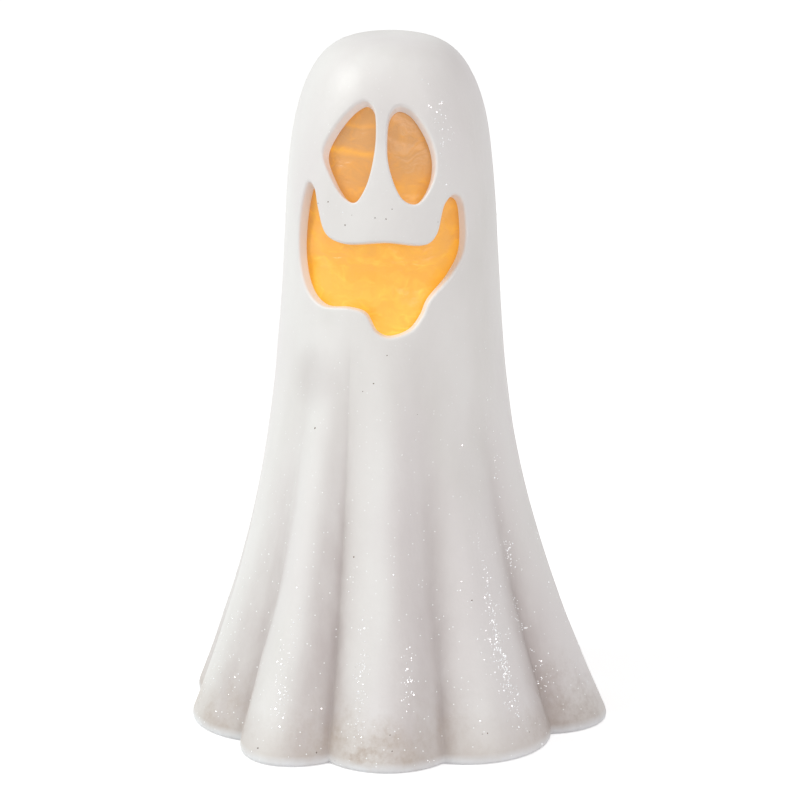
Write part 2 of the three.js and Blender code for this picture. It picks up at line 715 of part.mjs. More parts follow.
// The lever: a carriage inside the frame, and a grooved stem that hangs down through the plate
function switchLever() {
  const half = [lever.width / 2, lever.depth / 2];
  const carriage = block([-half[0], -half[1], carriageBottom], [half[0], half[1], carriageTop]);
  const s = lever.stem / 2;
  const tip = lever.tip - plateTop - seat;
  let stem = block([-s, -s, tip], [s, s, (carriageBottom + carriageTop) / 2]);
  for (const x of [-s / 2, s / 2]) {
    const [from, to] = [x - lever.groove / 2, x + lever.groove / 2];
    stem = stem.subtract(block([from, -s - through, tip - through], [to, s + through, tip + lever.groove]));
  }
  return carriage.add(stem);
}

// The hollow post: foot, tapering tube and the cup that holds the lamp's board. z 0 is its foot.
function lampPost() {
  const { bore, footRadius, footThickness, rootRadius, neckRadius, height } = post;
  const { cupRadius, cupDepth, cupWall } = post;
  const ledge = height - cupDepth;
  const profile = [
    [bore, 0], [footRadius, 0], [footRadius, footThickness], [rootRadius + 0.4, footThickness],
    [rootRadius + 0.2, footThickness + 2], [rootRadius, footThickness + 7], [neckRadius, ledge - 8],
    [cupRadius - 1, ledge - 1.5], [cupRadius, ledge], [cupRadius, height], [cupRadius - cupWall, height],
    [cupRadius - cupWall, ledge], [bore, ledge], [bore, 0],
  ];
  let made = revolve(profile, 20);
  const wide = post.channelWidth / 2;
  made = made.subtract(block([0, -wide, -through], [footRadius + through, wide, post.channelHeight]));
  for (const y of [-postScrewY, postScrewY]) {
    made = made.subtract(smallPilot(-through, footThickness + through).translate([0, y, 0]));
  }
  return made;
}
function lampBoard() {
  const radius = post.cupRadius - post.cupWall - seat;
  let made = cylinder(radius, 0, board.thickness, 20);
  for (const y of [-led.leadPitch / 2, led.leadPitch / 2]) {
    const hole = cylinder(board.leadHole, -through, board.thickness + through, 8);
    made = made.subtract(hole.translate([0, y, 0]));
  }
  return made;
}
function ledLens() {
  const { radius, flangeRadius, flangeHeight, height } = led;
  const dome = Array.from({ length: 5 }, (_, i) => {
    const turn = (i / 4) * (Math.PI / 2);
    return [radius * Math.cos(turn), height - radius + radius * Math.sin(turn)];
  });
  dome[4][0] = 0;
  const foot = [[0, 0], [flangeRadius, 0], [flangeRadius, flangeHeight], [radius, flangeHeight]];
  return revolve([...foot, ...dome], 14);
}

// A wire along a smooth line through hand-chosen points
function wireAlong(points, steps) {
  const path = new THREE.CatmullRomCurve3(points.map((p) => new THREE.Vector3(...p)));
  return solid(new THREE.ExtrudeGeometry(roundSection(wire.radius, 8), { steps, extrudePath: path }));
}

// The battery pack: three cells laid side by side, each turned the other way from the one before
function batteryPack() {
  const group = new THREE.Group();
  group.position.z = cellHeight;
  for (let i = 0; i < cellCount; i++) {
    const turned = i % 2 === 1;
    const y = (i - (cellCount - 1) / 2) * cellPitch;
    const one = piece(`battery_${i + 1}`, dryCell(), materials.jacket);
    one.position.set(turned ? -plusTip : plusTip, y, 0);
    one.rotation.z = turned ? Math.PI : 0;
    group.add(one);
    const coil = piece(`contact_spring_${i + 1}`, contactSpring(), materials.nickel);
    const root = bayHalfLength - contactRoom - seat;
    coil.position.set(turned ? root : -root, y, 0);
    coil.rotation.z = turned ? Math.PI : 0;
    group.add(coil);
  }
  const plates = [
    ["contact_plus", 1, [{ y: -cellPitch, dimple: true }], true],
    ["contact_bridge_right", 1, [{ y: 0 }, { y: cellPitch, dimple: true }], false],
    ["contact_bridge_left", -1, [{ y: -cellPitch }, { y: 0, dimple: true }], false],
    ["contact_minus", -1, [{ y: cellPitch }], true],
  ];
  for (const [name, side, seats, withLug] of plates) {
    const ownSeats = seats.map((s) => ({ ...s, y: -side * s.y }));
    const plateMesh = piece(name, contactPlate(ownSeats, withLug), materials.nickel);
    plateMesh.position.x = side * (bayHalfLength - seat);
    plateMesh.rotation.z = side > 0 ? Math.PI : 0;
    group.add(plateMesh);
  }
  return group;
}

function slideSwitch() {
  const group = new THREE.Group();
  group.position.set(0, slideY, plateTop + seat);
  group.add(piece("switch_frame", switchFrame(), materials.steel));
  group.add(piece("switch_insulator", switchInsulator(), materials.laminate));
  for (const i of [0, 1, 2]) {
    const one = piece(`switch_pin_${i + 1}`, switchPin(), materials.nickel);
    one.position.x = (i - 1) * pin.pitch;
    group.add(one);
  }
  const knob = piece("switch_lever", switchLever(), materials.black);
  knob.position.x = -lever.travel / 2;
  group.add(knob);
  [-earScrewX, earScrewX].forEach((x, i) => {
    const one = piece(`switch_screw_${i + 1}`, panScrew(smallScrew), materials.steel);
    one.rotation.x = Math.PI;
    one.position.set(x, 0, slide.earSheet + seat);
    group.add(one);
  });
  return group;
}

// The lamp: a post screwed to the bay's roof, and the LED on its little board in the cup
function lamp() {
  const group = new THREE.Group();
  group.position.z = roofTop + seat;
  group.add(piece("lamp_post", lampPost(), materials.base));
  const longScrew = { ...smallScrew, length: post.screwLength };
  [-postScrewY, postScrewY].forEach((y, i) => {
    const one = piece(`post_screw_${i + 1}`, panScrew(longScrew), materials.steel);
    one.rotation.x = Math.PI;
    one.position.set(0, y, post.footThickness + seat);
    group.add(one);
  });
  const boardBottom = post.height - post.cupDepth + seat;
  const boardTop = boardBottom + board.thickness;
  const disc = piece("lamp_board", lampBoard(), materials.mask);
  disc.position.z = boardBottom;
  group.add(disc);
  const lens = piece("led_lens", ledLens(), materials.lens);
  lens.position.z = boardTop + seat;
  group.add(lens);
  [-1, 1].forEach((side, i) => {
    const one = piece(`led_lead_${i + 1}`, cylinder(lead.radius, -lead.length, 0, 8), materials.nickel);
    one.position.set(0, (side * led.leadPitch) / 2, boardTop);
    group.add(one);
  });
  const half = [resistor.width / 2, resistor.length / 2];
  const chipSolid = block([-half[0], -half[1], 0], [half[0], half[1], resistor.height]);
  const chip = piece("resistor", chipSolid, materials.black);
  chip.position.set((led.flangeRadius + post.cupRadius - post.cupWall) / 2, 0, boardTop + seat);
  group.add(chip);
  return group;
}

// The three wires, each from solder joint to solder joint along a route chosen by hand
function wiring() {
  const group = new THREE.Group();
  const lugX = bayHalfLength - seat - contact.thickness / 2;
  const lugTop = roofTop + lug.rise + seat;
  const pinTop = plateTop + seat + slide.height + pin.rise + seat;
  const leadEnd = roofTop + seat + post.height - post.cupDepth + seat + board.thickness - lead.length;
  const floor = roofTop + wire.radius + 2 * seat;
  const arch = roofTop + 7;
  const riser = led.leadPitch / 2;
  const wires = [
    ["wire_battery_switch", materials.red, 26, [
      [lugX, -cellPitch, lugTop], [lugX, -cellPitch, lugTop + 2], [lugX - 3, -10, arch + 1],
      [20, 4, arch], [11, 20, arch], [-1, 32, arch - 3], [-pin.pitch, slideY - 2, pinTop + 7],
      [-pin.pitch, slideY, pinTop + 2], [-pin.pitch, slideY, pinTop],
    ]],
    ["wire_switch_lamp", materials.red, 40, [
      [0, slideY, pinTop], [0, slideY, pinTop + 2], [3, 34, pinTop + 7], [13, 25, floor + 1],
      [20, 11, floor], [18.5, 1.5, floor], [13.5, -riser, floor], [8, -riser, floor],
      [3, -riser, floor], [0.4, -riser, floor + 1], [0, -riser, floor + 4], [0, -riser, floor + 20],
      [0, -riser, leadEnd - 20], [0, -riser, leadEnd - seat],
    ]],
    ["wire_battery_lamp", materials.black, 42, [
      [-lugX, cellPitch, lugTop], [-lugX, cellPitch, lugTop + 2], [-24, 17, arch], [-12, 20, arch - 3],
      [2, 18, floor], [11, 12, floor], [15, 5, floor], [12.5, riser, floor], [8, riser, floor],
      [3, riser, floor], [0.4, riser, floor + 1], [0, riser, floor + 4], [0, riser, floor + 20],
      [0, riser, leadEnd - 20], [0, riser, leadEnd - seat],
    ]],
  ];
  for (const [name, material, steps, points] of wires) {
    group.add(piece(name, wireAlong(points, steps), material));
  }
  return group;
}

function ghost() {
  const group = new THREE.Group();
  group.position.set(headOffset.x, headOffset.y, 0);
  group.add(piece("ghost_shell", ghostShell(), materials.body));
  group.add(piece("face_film", faceFilm(), materials.film));
  group.add(piece("base_plate", basePlate(), materials.base));
  const cover = piece("battery_door", batteryDoor(), materials.door);
  cover.position.z = plateBottom;
  group.add(cover);
  bossPlaces().forEach(({ x, y }, i) => {
    const one = piece(`base_screw_${i + 1}`, panScrew(screw), materials.steel);
    one.position.set(x, y, plateBottom + screw.headHeight);
    group.add(one);
  });
  group.add(batteryPack(), slideSwitch(), lamp(), wiring());
  return group;
}

console.log(`least gap between the turns of a contact spring: ${springGap().toFixed(2)} mm`);

export default ghost();
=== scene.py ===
"""A light-up plastic ghost for a table top: a draped white body with glitter in its coat, an amber film
behind its cut-out face, and a base plate with a battery door and a slide switch."""

import math

import bmesh
import bpy
import numpy as np
from bpy.props import FloatProperty, FloatVectorProperty, IntProperty, PointerProperty
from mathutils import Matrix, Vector, geometry, noise


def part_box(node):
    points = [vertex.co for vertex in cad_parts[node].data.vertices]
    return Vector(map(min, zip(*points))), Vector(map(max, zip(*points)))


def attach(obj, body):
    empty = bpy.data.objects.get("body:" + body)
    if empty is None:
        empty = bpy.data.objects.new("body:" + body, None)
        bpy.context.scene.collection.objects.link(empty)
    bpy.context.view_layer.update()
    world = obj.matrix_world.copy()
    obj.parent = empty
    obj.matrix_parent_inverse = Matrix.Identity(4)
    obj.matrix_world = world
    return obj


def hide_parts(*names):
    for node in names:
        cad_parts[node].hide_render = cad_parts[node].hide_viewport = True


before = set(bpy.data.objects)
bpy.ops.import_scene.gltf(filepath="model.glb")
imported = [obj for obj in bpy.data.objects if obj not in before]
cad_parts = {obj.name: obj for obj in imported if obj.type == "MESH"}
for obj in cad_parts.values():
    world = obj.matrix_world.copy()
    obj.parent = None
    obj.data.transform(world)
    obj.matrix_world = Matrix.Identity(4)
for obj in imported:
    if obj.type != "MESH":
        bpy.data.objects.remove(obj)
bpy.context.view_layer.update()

bl_info = {
    "name": "Light-up Ghost",
    "version": (1, 0, 0),
    "blender": (4, 5, 0),
    "location": "3D View > Sidebar > Ghost",
    "description": "Builds a light-up plastic ghost from its sizes and finishes",
    "category": "Add Mesh",
}

MM = 0.001  # what is written in millimetres is times this

# Each fold of the skirt: the valley before it in degrees from the face, how far that valley turns on its
# way from the table up to the head, how far the fold swells at the hem and how far below the crown it
# runs out, both in mm, how late it swells, how much rounder its valley is 100 mm up, and how far across
# it the painted shade of its next valley starts.
FOLDS = [
    (-164, 0, 8, 125, 1.27, 0.5, 0.5),
    (-127.5, 0, 6.4, 125, 1.27, 0.5, 0.5),
    (-84, 2.8, 6.2, 125, 1.27, 0.5, 0.5),
    (-44.3, 4.6, 11, 90, 1.0, 1.3, 0.57),
    (-11.5, -2.0, 6.6, 88, 0.85, 0.0, 0.42),
    (23.3, 2.2, 6.8, 112, 1.1, 0.8, 0.64),
    (66, -12.4, 11.8, 112, 1.2, 0.5, 0.5),
    (101, -7.1, 9.5, 125, 1.27, 0.5, 0.5),
    (132, 0, 8, 125, 1.27, 0.5, 0.5),
    (168, 0, 7.5, 125, 1.27, 0.5, 0.5),
]
FOLD_SWELL, FOLD_RUN_OUT, FOLD_FADE, FOLD_SOFTNESS, FOLD_SHADE_START = range(2, 7)
# The scallops of the base plate's seat inside the hem: the valley before each in degrees, how far it
# swells at the table, and how far below the crown that swell runs out, both in mm
SEAT_FOLDS = [
    (-164, 8, 125), (-127.5, 6.4, 125), (-83.8, 6.6, 125), (-44.6, 11, 108), (-14, 6.8, 108),
    (22.5, 6.6, 118), (70, 11.6, 118), (100.6, 9.5, 125), (132, 8, 125), (168, 7.5, 125),
]
SEAT_FADE = 1.27

# The face's outlines in mm: across along the surface, and down from the crown
LEFT_EYE = [
    (-5.4, 16.6), (-10.6, 18.8), (-18, 26.8), (-21.3, 34), (-17.4, 41.2), (-11.6, 47.6),
    (-7.8, 48.8), (-4.6, 44.6), (-2, 36.2), (-1, 26), (-2.2, 18.8),
]
RIGHT_EYE = [
    (7.5, 18), (4.3, 20.4), (3.1, 29.4), (4.1, 37.8), (8.5, 47.4), (13, 49), (18.4, 43.2),
    (20.4, 35.4), (18.4, 27.4), (12.6, 19.6),
]
MOUTH = [
    (-27, 44.4), (-29.8, 50), (-31.4, 66), (-29, 75), (-24.6, 81), (-18.8, 84), (-9.5, 83.6),
    (-4, 85), (0, 91), (3.6, 92.5), (10.6, 90.4), (14.4, 86), (17, 80.8), (25, 73.2), (30.4, 66),
    (31.5, 57), (30.2, 49), (27, 47.3), (23.4, 49.8), (19.9, 59.6), (16.6, 62.4), (3, 61.4),
    (-13, 62.4), (-18.6, 60), (-22.2, 52), (-24.2, 46.2),
]

# Where the glitter lies thickest: degrees from the face, height in mm, spread of each, and flakes
GLITTER_PATCHES = [
    (-2.0, 27, 1.3, 10, 70),
    (12.4, 29, 1.1, 5, 36),
    (44.6, 39, 0.9, 8, 100),
    (45.6, 27, 0.9, 5, 90),
    (46.6, 17, 1.1, 4, 22),
    (44.8, 58, 1.0, 8, 28),
    (42.6, 36, 0.8, 8, 28),
    (47.5, 34, 3.6, 12, 44),
    (62, 92, 1.6, 8, 14),
    (62.6, 64, 1.2, 4.5, 42),
    (61.2, 41, 1.5, 5, 50),
    (65.4, 19, 1.4, 4, 36),
    (-25.4, 24, 1.5, 8, 58),
    (-27.5, 42, 2.5, 8, 14),
    (38, 203, 4, 7, 42),
    (-26, 196, 5, 8, 16),
    (-60, 30, 5, 12, 56),
    (-100, 34, 5, 14, 70),
    (-145, 26, 5, 12, 64),
    (88, 30, 5, 14, 70),
    (118, 26, 5, 14, 64),
    (150, 36, 5, 14, 70),
    (-176, 28, 5, 12, 64),
    (120, 196, 9, 9, 48),
    (-120, 200, 9, 9, 48),
]
# Dark dust specks that were caught in the coat: degrees from the face, and height in mm
DUST = [
    (-28.9, 180.3), (-17.8, 173.5), (4.8, 176.2), (8, 179.4), (33.4, 174.5), (-35.9, 179.3),
    (-1.1, 176.5), (-13.9, 177), (19.9, 112.4), (-7.2, 66.5), (-0.9, 122.7), (-6.2, 119.9),
    (5.5, 131.9), (-28.4, 106.6), (-29.4, 5), (-14.4, 4.5), (7.1, 12.3), (7.7, 7.4), (37.5, 51.4),
    (34.5, 9.8), (36, 9.9), (50.1, 7.3), (96, 170.2), (-78, 150.5), (140, 61), (-150, 120), (172, 30),
    (-112, 12), (110, 9), (160, 188),
]

# Stains low on the skirt: their place, and how far each reaches, in metres, its strength and its colour
STAINS = [
    ((-0.004, -0.071, 0.004), 0.021, 0.55, "#B5A391"),
    ((0.010, -0.069, 0.004), 0.015, 0.45, "#BAAB9C"),
    ((-0.0042, -0.0715, 0.005), 0.008, 0.8, "#A58A73"),
    ((-0.052, -0.040, 0.005), 0.015, 0.45, "#B8A999"),
    ((-0.064, -0.022, 0.004), 0.012, 0.4, "#BDAFA1"),
    ((0.060, -0.026, 0.006), 0.026, 0.5, "#AE9F96"),
]
# Painted shade: faint pinkish-grey darkening over the eyes and under the mouth: place, reach and strength
SHADES = [
    ((-0.004, -0.034, 0.213), 0.020, 0.34),
    ((-0.023, -0.031, 0.122), 0.014, 0.42),
]

# The wires: node, colour, and the points of each about the head's axis, in mm
WIRE_RADIUS = 0.65
WIRES = [
    ("wire_battery_switch", "red", [
        (28.95, -15.2, 26.2), (28.95, -15.2, 28.2), (25.95, -10, 30.5), (20, 4, 29.5), (11, 20, 29.5),
        (-1, 32, 26.5), (-3, 37.1, 22), (-3, 39.1, 17), (-3, 39.1, 15),
    ]),
    ("wire_switch_lamp", "red", [
        (0, 39.1, 15), (0, 39.1, 17), (3, 34, 22), (13, 25, 24.75), (20, 11, 23.75), (18.5, 1.5, 23.75),
        (13.5, -1.27, 23.75), (8, -1.27, 23.75), (3, -1.27, 23.75), (0.4, -1.27, 24.75), (0, -1.27, 27.75),
        (0, -1.27, 43.75), (0, -1.27, 91.1), (0, -1.27, 110.8),
    ]),
    ("wire_battery_lamp", "black", [
        (-28.95, 15.2, 26.2), (-28.95, 15.2, 28.2), (-24, 17, 29.5), (-12, 20, 26.5), (2, 18, 23.75),
        (11, 12, 23.75), (15, 5, 23.75), (12.5, 1.27, 23.75), (8, 1.27, 23.75), (3, 1.27, 23.75),
        (0.4, 1.27, 24.75), (0, 1.27, 27.75), (0, 1.27, 43.75), (0, 1.27, 91.1), (0, 1.27, 110.8),
    ]),
]



def metres(name, description, default):
    """A size in metres, shown in the scene's unit"""
    return FloatProperty(name=name, description=description, default=default, unit="LENGTH")


class GhostBodyValues(bpy.types.PropertyGroup):
    """Sizes of the draped body"""

    height: metres("Height", "From the table to the crown", 0.230)
    neck_radius: metres("Neck radius", "Radius under the face", 0.0346)
    dome_height: metres("Dome height", "How far down the head's rounding reaches", 0.089)
    dome_power: FloatProperty(
        name="Dome power", description="How square the head's rounding is", default=3.45
    )
    flare: metres("Flare", "How much wider the skirt is than the neck", 0.029)
    flare_drop: metres("Flare drop", "How far below the crown the flare starts", 0.028)
    flare_power: FloatProperty(
        name="Flare power", description="How late the skirt flares", default=2.32
    )
    lobe_power: FloatProperty(
        name="Lobe power", description="How full each fold is", default=0.75
    )
    valley_round: FloatProperty(
        name="Valley rounding", description="Share of a fold over which its valley is rounded", default=0.05
    )
    wall: metres("Wall", "Thickness of the moulded wall", 0.0035)
    hem_round: metres("Hem rounding", "How high the hem's rounding climbs", 0.0034)
    hem_tuck: metres("Hem tuck", "How far the rounding draws the edge in", 0.0024)
    rebate: metres("Rebate", "Below this the inner wall stands straight", 0.0085)
    seat_top: metres("Seat top", "Up to this height the inner wall fits the base plate", 0.0064)
    seat_blend: metres("Seat blend", "Height over which the inner wall turns to follow the folds", 0.008)
    least_wall: metres("Least wall", "The wall is nowhere thinner than this", 0.001)
    lean: FloatVectorProperty(
        name="Lean", description="The head's place off the middle of the hem", size=2,
        default=(-0.003, -0.0003), unit="LENGTH",
    )
    edge_round: metres("Edge rounding", "Outer rounding of the face's cut-outs", 0.0009)
    inner_round: metres("Inner rounding", "Inner rounding of the face's cut-outs", 0.0003)
    unevenness: metres("Unevenness", "Depth of the hand-finished waviness", 0.0003)
    columns: IntProperty(
        name="Columns", description="Columns of the surface in each fold", default=24
    )


class GhostFilmValues(bpy.types.PropertyGroup):
    """Sizes of the lit film behind the face"""

    thickness: metres("Thickness", "Thickness of the film", 0.0005)
    clearance: metres("Clearance", "Gap to the inner wall", 0.0005)
    half_width: metres("Half width", "Half its width along the wall", 0.038)
    top: metres("Top", "Its upper edge, down from the crown", 0.012)
    bottom: metres("Bottom", "Its lower edge, down from the crown", 0.100)
    crease: metres("Crease", "Depth of its broad creases", 0.0011)
    glow: FloatProperty(name="Glow", description="Strength of the light through it", default=1.0)


class GhostFinishValues(bpy.types.PropertyGroup):
    """Finishes of the coat"""

    flakes: IntProperty(
        name="Loose flakes", description="Glitter flakes that lie apart from the patches", default=170
    )
    flake_radius: metres("Flake radius", "Radius of a glitter flake", 0.00018)
    dust_radius: metres("Dust radius", "Radius of a dust speck", 0.0003)


class GhostStageValues(bpy.types.PropertyGroup):
    """The camera's place, lens and shift"""

    distance: metres("Distance", "From the camera to the body's middle", 1.3)
    azimuth: FloatProperty(
        name="Azimuth", description="Turn of the camera from the face", default=math.radians(7.3),
        subtype="ANGLE",
    )
    elevation: FloatProperty(
        name="Elevation", description="Height angle of the camera", default=math.radians(15.1),
        subtype="ANGLE",
    )
    lens: FloatProperty(name="Lens", description="Focal length in mm", default=175.8)
    shift: FloatVectorProperty(
        name="Shift", description="Shift of the frame", size=2, default=(0.0116, -0.0305)
    )


# Shape of the draped body

CRISP_BELOW, SOFTENING = 30 * MM, 70 * MM  # the softer valleys grow round above the one, over the other
CURVE_STEPS = 40  # points on each stretch of a face outline, before it is cut at an even spacing


def values(group):
    return getattr(bpy.context.scene, group)


def body_radius(z, shrink):
    """Radius of the body without its folds. Shrink 0 is the outside, and the wall is the inside."""
    body = values("ghost_body")
    flare_top = body.height - body.flare_drop
    rise = np.maximum(0, (flare_top - z) / flare_top)
    skirt = body.neck_radius - shrink + body.flare * rise**body.flare_power
    dome_start = body.height - body.dome_height
    share = np.clip((z - dome_start) / (body.dome_height - shrink), 0, 1)
    return skirt * np.maximum(0, 1 - share**body.dome_power) ** (1 / body.dome_power)


def fold_value(column, fold):
    """One column of FOLDS for an array of fold numbers"""
    return np.array(FOLDS)[fold % len(FOLDS), column]


def valley_angle(i, z):
    body = values("ghost_body")
    valley, turn = FOLDS[i % len(FOLDS)][:2]
    wraps = 360 if i >= len(FOLDS) else 0
    head = body.height - body.dome_height
    return np.radians(valley + wraps + turn * np.minimum(z, head) / head)


def fold_lobe(share, rounding):
    """How far a fold stands out across its width, from 0 in the valleys to 1 on its ridge"""
    power = values("ghost_body").lobe_power
    wave = np.maximum(0, np.sin(np.pi * share))
    low = rounding**power
    high = (1 + rounding**2) ** (power / 2)
    return ((wave**2 + rounding**2) ** (power / 2) - low) / (high - low)


def fold_share(angle, z):
    """The fold that each angle lies in, and how far across it"""
    angle, z = np.broadcast_arrays(angle, z)
    fold = np.zeros(angle.shape, int)
    share = np.zeros(angle.shape)
    for i in range(len(FOLDS)):
        start = valley_angle(i, z)
        width = valley_angle(i + 1, z) - start
        past = np.mod(angle - start, 2 * np.pi)
        inside = past < width
        fold[inside] = i
        share[inside] = (past / width)[inside]
    return fold, share


def fold_fade(fold, z):
    """How far each fold swells at a height, in metres"""
    top = values("ghost_body").height - fold_value(FOLD_RUN_OUT, fold) * MM
    swell = fold_value(FOLD_SWELL, fold) * MM
    return swell * np.maximum(0, (top - z) / top) ** fold_value(FOLD_FADE, fold)


def softening(z):
    """How much of the valleys' softness shows at a height: none low down, and all of it above"""
    return np.clip((z - CRISP_BELOW) / SOFTENING, 0, 1)


def valley_rounding(fold, share, z):
    """How round the surface is between one valley, with its softness, and the next"""
    here = fold_value(FOLD_SOFTNESS, fold) * (1 - share) + fold_value(FOLD_SOFTNESS, fold + 1) * share
    return values("ghost_body").valley_round + here * softening(z)


def surface_radius(angle, z, shrink=0.0, rounding=None):
    fold, share = fold_share(angle, z)
    if rounding is None:
        rounding = valley_rounding(fold, share, z)
    return body_radius(z, shrink) + fold_fade(fold, z) * fold_lobe(share, rounding)


def around(radius, angle, z):
    """Points of the row frame from a radius and an angle about the head's axis"""
    lean = values("ghost_body").lean
    z = np.broadcast_to(z, np.shape(angle))
    return np.stack([lean[0] + radius * np.sin(angle), lean[1] - radius * np.cos(angle), z], axis=-1)


def curve_stretch(p0, p1, p2, p3, steps):
    """The stretch of a centripetal curve through four points that runs from the second to the third"""
    d0, d1, d2 = (np.sqrt(np.linalg.norm(b - a)) for a, b in ((p0, p1), (p1, p2), (p2, p3)))
    t1 = ((p1 - p0) / d0 - (p2 - p0) / (d0 + d1) + (p2 - p1) / d1) * d1
    t2 = ((p2 - p1) / d1 - (p3 - p1) / (d1 + d2) + (p3 - p2) / d2) * d1
    t = np.linspace(0, 1, steps, endpoint=False)[:, None]
    a = 2 * p1 - 2 * p2 + t1 + t2
    b = -3 * p1 + 3 * p2 - 2 * t1 - t2
    return ((a * t + b) * t + t1) * t + p1


def open_curve(points, steps):
    """A curve through the points, from the first to the last"""
    points = np.array(points, float)
    points = np.vstack([2 * points[0] - points[1], points, 2 * points[-1] - points[-2]])
    stretches = [curve_stretch(*points[i : i + 4], steps) for i in range(len(points) - 3)]
    return np.vstack([*stretches, points[-2:-1]])


def closed_curve(points, spacing):
    """A closed curve through the points, cut at an even spacing"""
    points = np.array(points, float)
    around_twice = np.vstack([points[-1:], points, points[:2]])
    line = np.vstack([curve_stretch(*around_twice[i : i + 4], CURVE_STEPS) for i in range(len(points))])
    ring = np.vstack([line, line[:1]])
    run = np.concatenate([[0], np.cumsum(np.linalg.norm(np.diff(ring, axis=0), axis=1))])
    count = int(round(run[-1] / spacing))
    at = np.linspace(0, run[-1], count, endpoint=False)
    return np.stack([np.interp(at, run, ring[:, 0]), np.interp(at, run, ring[:, 1])], axis=1)


def face_outlines(spacing=0.8):
    """The three cut-outs on the unrolled surface, in mm: across and up from the table, anticlockwise"""
    height = values("ghost_body").height / MM
    found = []
    for points in (LEFT_EYE, RIGHT_EYE, MOUTH):
        curve = closed_curve(points, spacing)
        curve[:, 1] = height - curve[:, 1]
        x, y = curve[:, 0], curve[:, 1]
        if np.sum(x * np.roll(y, -1) - np.roll(x, -1) * y) < 0:
            curve = curve[::-1]
        found.append(curve)
    return found


def outward(curve):
    """Unit normals of a closed anticlockwise curve that point out of it"""
    along = np.roll(curve, -1, axis=0) - np.roll(curve, 1, axis=0)
    along /= np.linalg.norm(along, axis=1)[:, None]
    return np.stack([along[:, 1], -along[:, 0]], axis=1)


def inside_edges(points, starts, ends):
    """Which points lie inside closed lines, by counting the edges on one side of each point"""
    x, y = points[:, 0, None], points[:, 1, None]
    (x0, y0), (x1, y1) = starts.T, ends.T
    crosses = (y0 > y) != (y1 > y)
    reach = x0 + (y - y0) * (x1 - x0) / np.where(y1 == y0, 1, y1 - y0)
    return np.sum(crosses & (x < reach), axis=1) % 2 == 1


def curve_distance(points, curve):
    """Distance from each point to a closed curve, below 0 inside it"""
    after = np.roll(curve, -1, axis=0)
    start, step = curve[None], after[None] - curve[None]
    t = np.sum((points[:, None] - start) * step, axis=2) / np.sum(step**2, axis=2)
    near = start + np.clip(t, 0, 1)[..., None] * step
    distance = np.min(np.linalg.norm(points[:, None] - near, axis=2), axis=1)
    return np.where(inside_edges(points, curve, after), -distance, distance)


# Mesh tools


def deselect():
    if bpy.context.object and bpy.context.object.mode != "OBJECT":
        bpy.ops.object.mode_set(mode="OBJECT")
    bpy.ops.object.select_all(action="DESELECT")


def only(obj):
    """Makes one object the selected and active one"""
    deselect()
    obj.select_set(True)
    bpy.context.view_layer.objects.active = obj
    return obj


def settle(obj):
    """Puts an object's place into its mesh, so that the object stands at the origin"""
    only(obj)
    bpy.ops.object.transform_apply(location=True, rotation=True, scale=True)
    return obj


def edit_whole(operator, **settings):
    """Runs an edit-mode operator on all of the active object's mesh"""
    bpy.ops.object.mode_set(mode="EDIT")
    bpy.ops.mesh.select_all(action="SELECT")
    operator(**settings)
    bpy.ops.object.mode_set(mode="OBJECT")


def joined(parts):
    """Makes one object of several"""
    deselect()
    for part in parts:
        part.select_set(True)
    bpy.context.view_layer.objects.active = parts[0]
    bpy.ops.object.join()
    return bpy.context.object


def linked(name, data):
    """A new object with its data, in the scene"""
    obj = bpy.data.objects.new(name, data)
    bpy.context.collection.objects.link(obj)
    return obj


def finished(obj, name, body, material, *nodes, slot, smooth=30):
    """Names a piece, gives it its body and its finish, and hides the CAD nodes that it stands for"""
    obj.name = obj.data.name = name
    obj.data.materials.clear()
    obj.data.materials.append(material)
    only(obj)
    bpy.ops.object.shade_smooth_by_angle(angle=math.radians(smooth))
    settle(obj)
    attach(obj, body)
    if nodes:
        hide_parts(*nodes)
    deselect()
    return obj


def set_attribute(mesh, name, values_per_point):
    attribute = mesh.attributes.new(name, "FLOAT", "POINT")
    attribute.data.foreach_set("value", np.asarray(values_per_point, np.float32))


def coordinates(mesh):
    found = np.empty(len(mesh.vertices) * 3, np.float32)
    mesh.vertices.foreach_get("co", found)
    return found.reshape(-1, 3).astype(float)


def place_vertices(mesh, points):
    mesh.vertices.foreach_set("co", np.asarray(points, np.float32).ravel())
    mesh.update()


# Materials


def linear(hex_colour):
    """A written sRGB colour as linear light"""
    parts = [int(hex_colour[i : i + 2], 16) / 255 for i in (1, 3, 5)]
    return tuple(c / 12.92 if c <= 0.04045 else ((c + 0.055) / 1.055) ** 2.4 for c in parts) + (1.0,)


def feed(tree, node, feeds):
    """Gives a node's inputs, by name or number: a value, a written colour, a link, or a node to link"""
    for key, value in feeds.items():
        if isinstance(value, bpy.types.Node):
            value = next(output for output in value.outputs if output.enabled)
        if isinstance(value, bpy.types.NodeSocket):
            tree.links.new(value, node.inputs[key])
        else:
            node.inputs[key].default_value = linear(value) if isinstance(value, str) else value


def add(tree, kind, feeds=None, **settings):
    """Adds a node with its settings and what its inputs are given"""
    node = tree.nodes.new(kind)
    for key, value in settings.items():
        setattr(node, key, value)
    feed(tree, node, feeds or {})
    return node


def ramp(tree, factor, stops, interpolation="LINEAR"):
    """Turns a factor into the colours of some stops, each a place and a colour"""
    node = add(tree, "ShaderNodeValToRGB", {0: factor})
    node.color_ramp.interpolation = interpolation
    elements = node.color_ramp.elements
    while len(elements) < len(stops):
        elements.new(0.5)
    for element, (place, colour) in zip(elements, stops):
        element.position = place
        element.color = linear(colour) if isinstance(colour, str) else colour
    return node


def grey(level):
    return (level, level, level, 1)


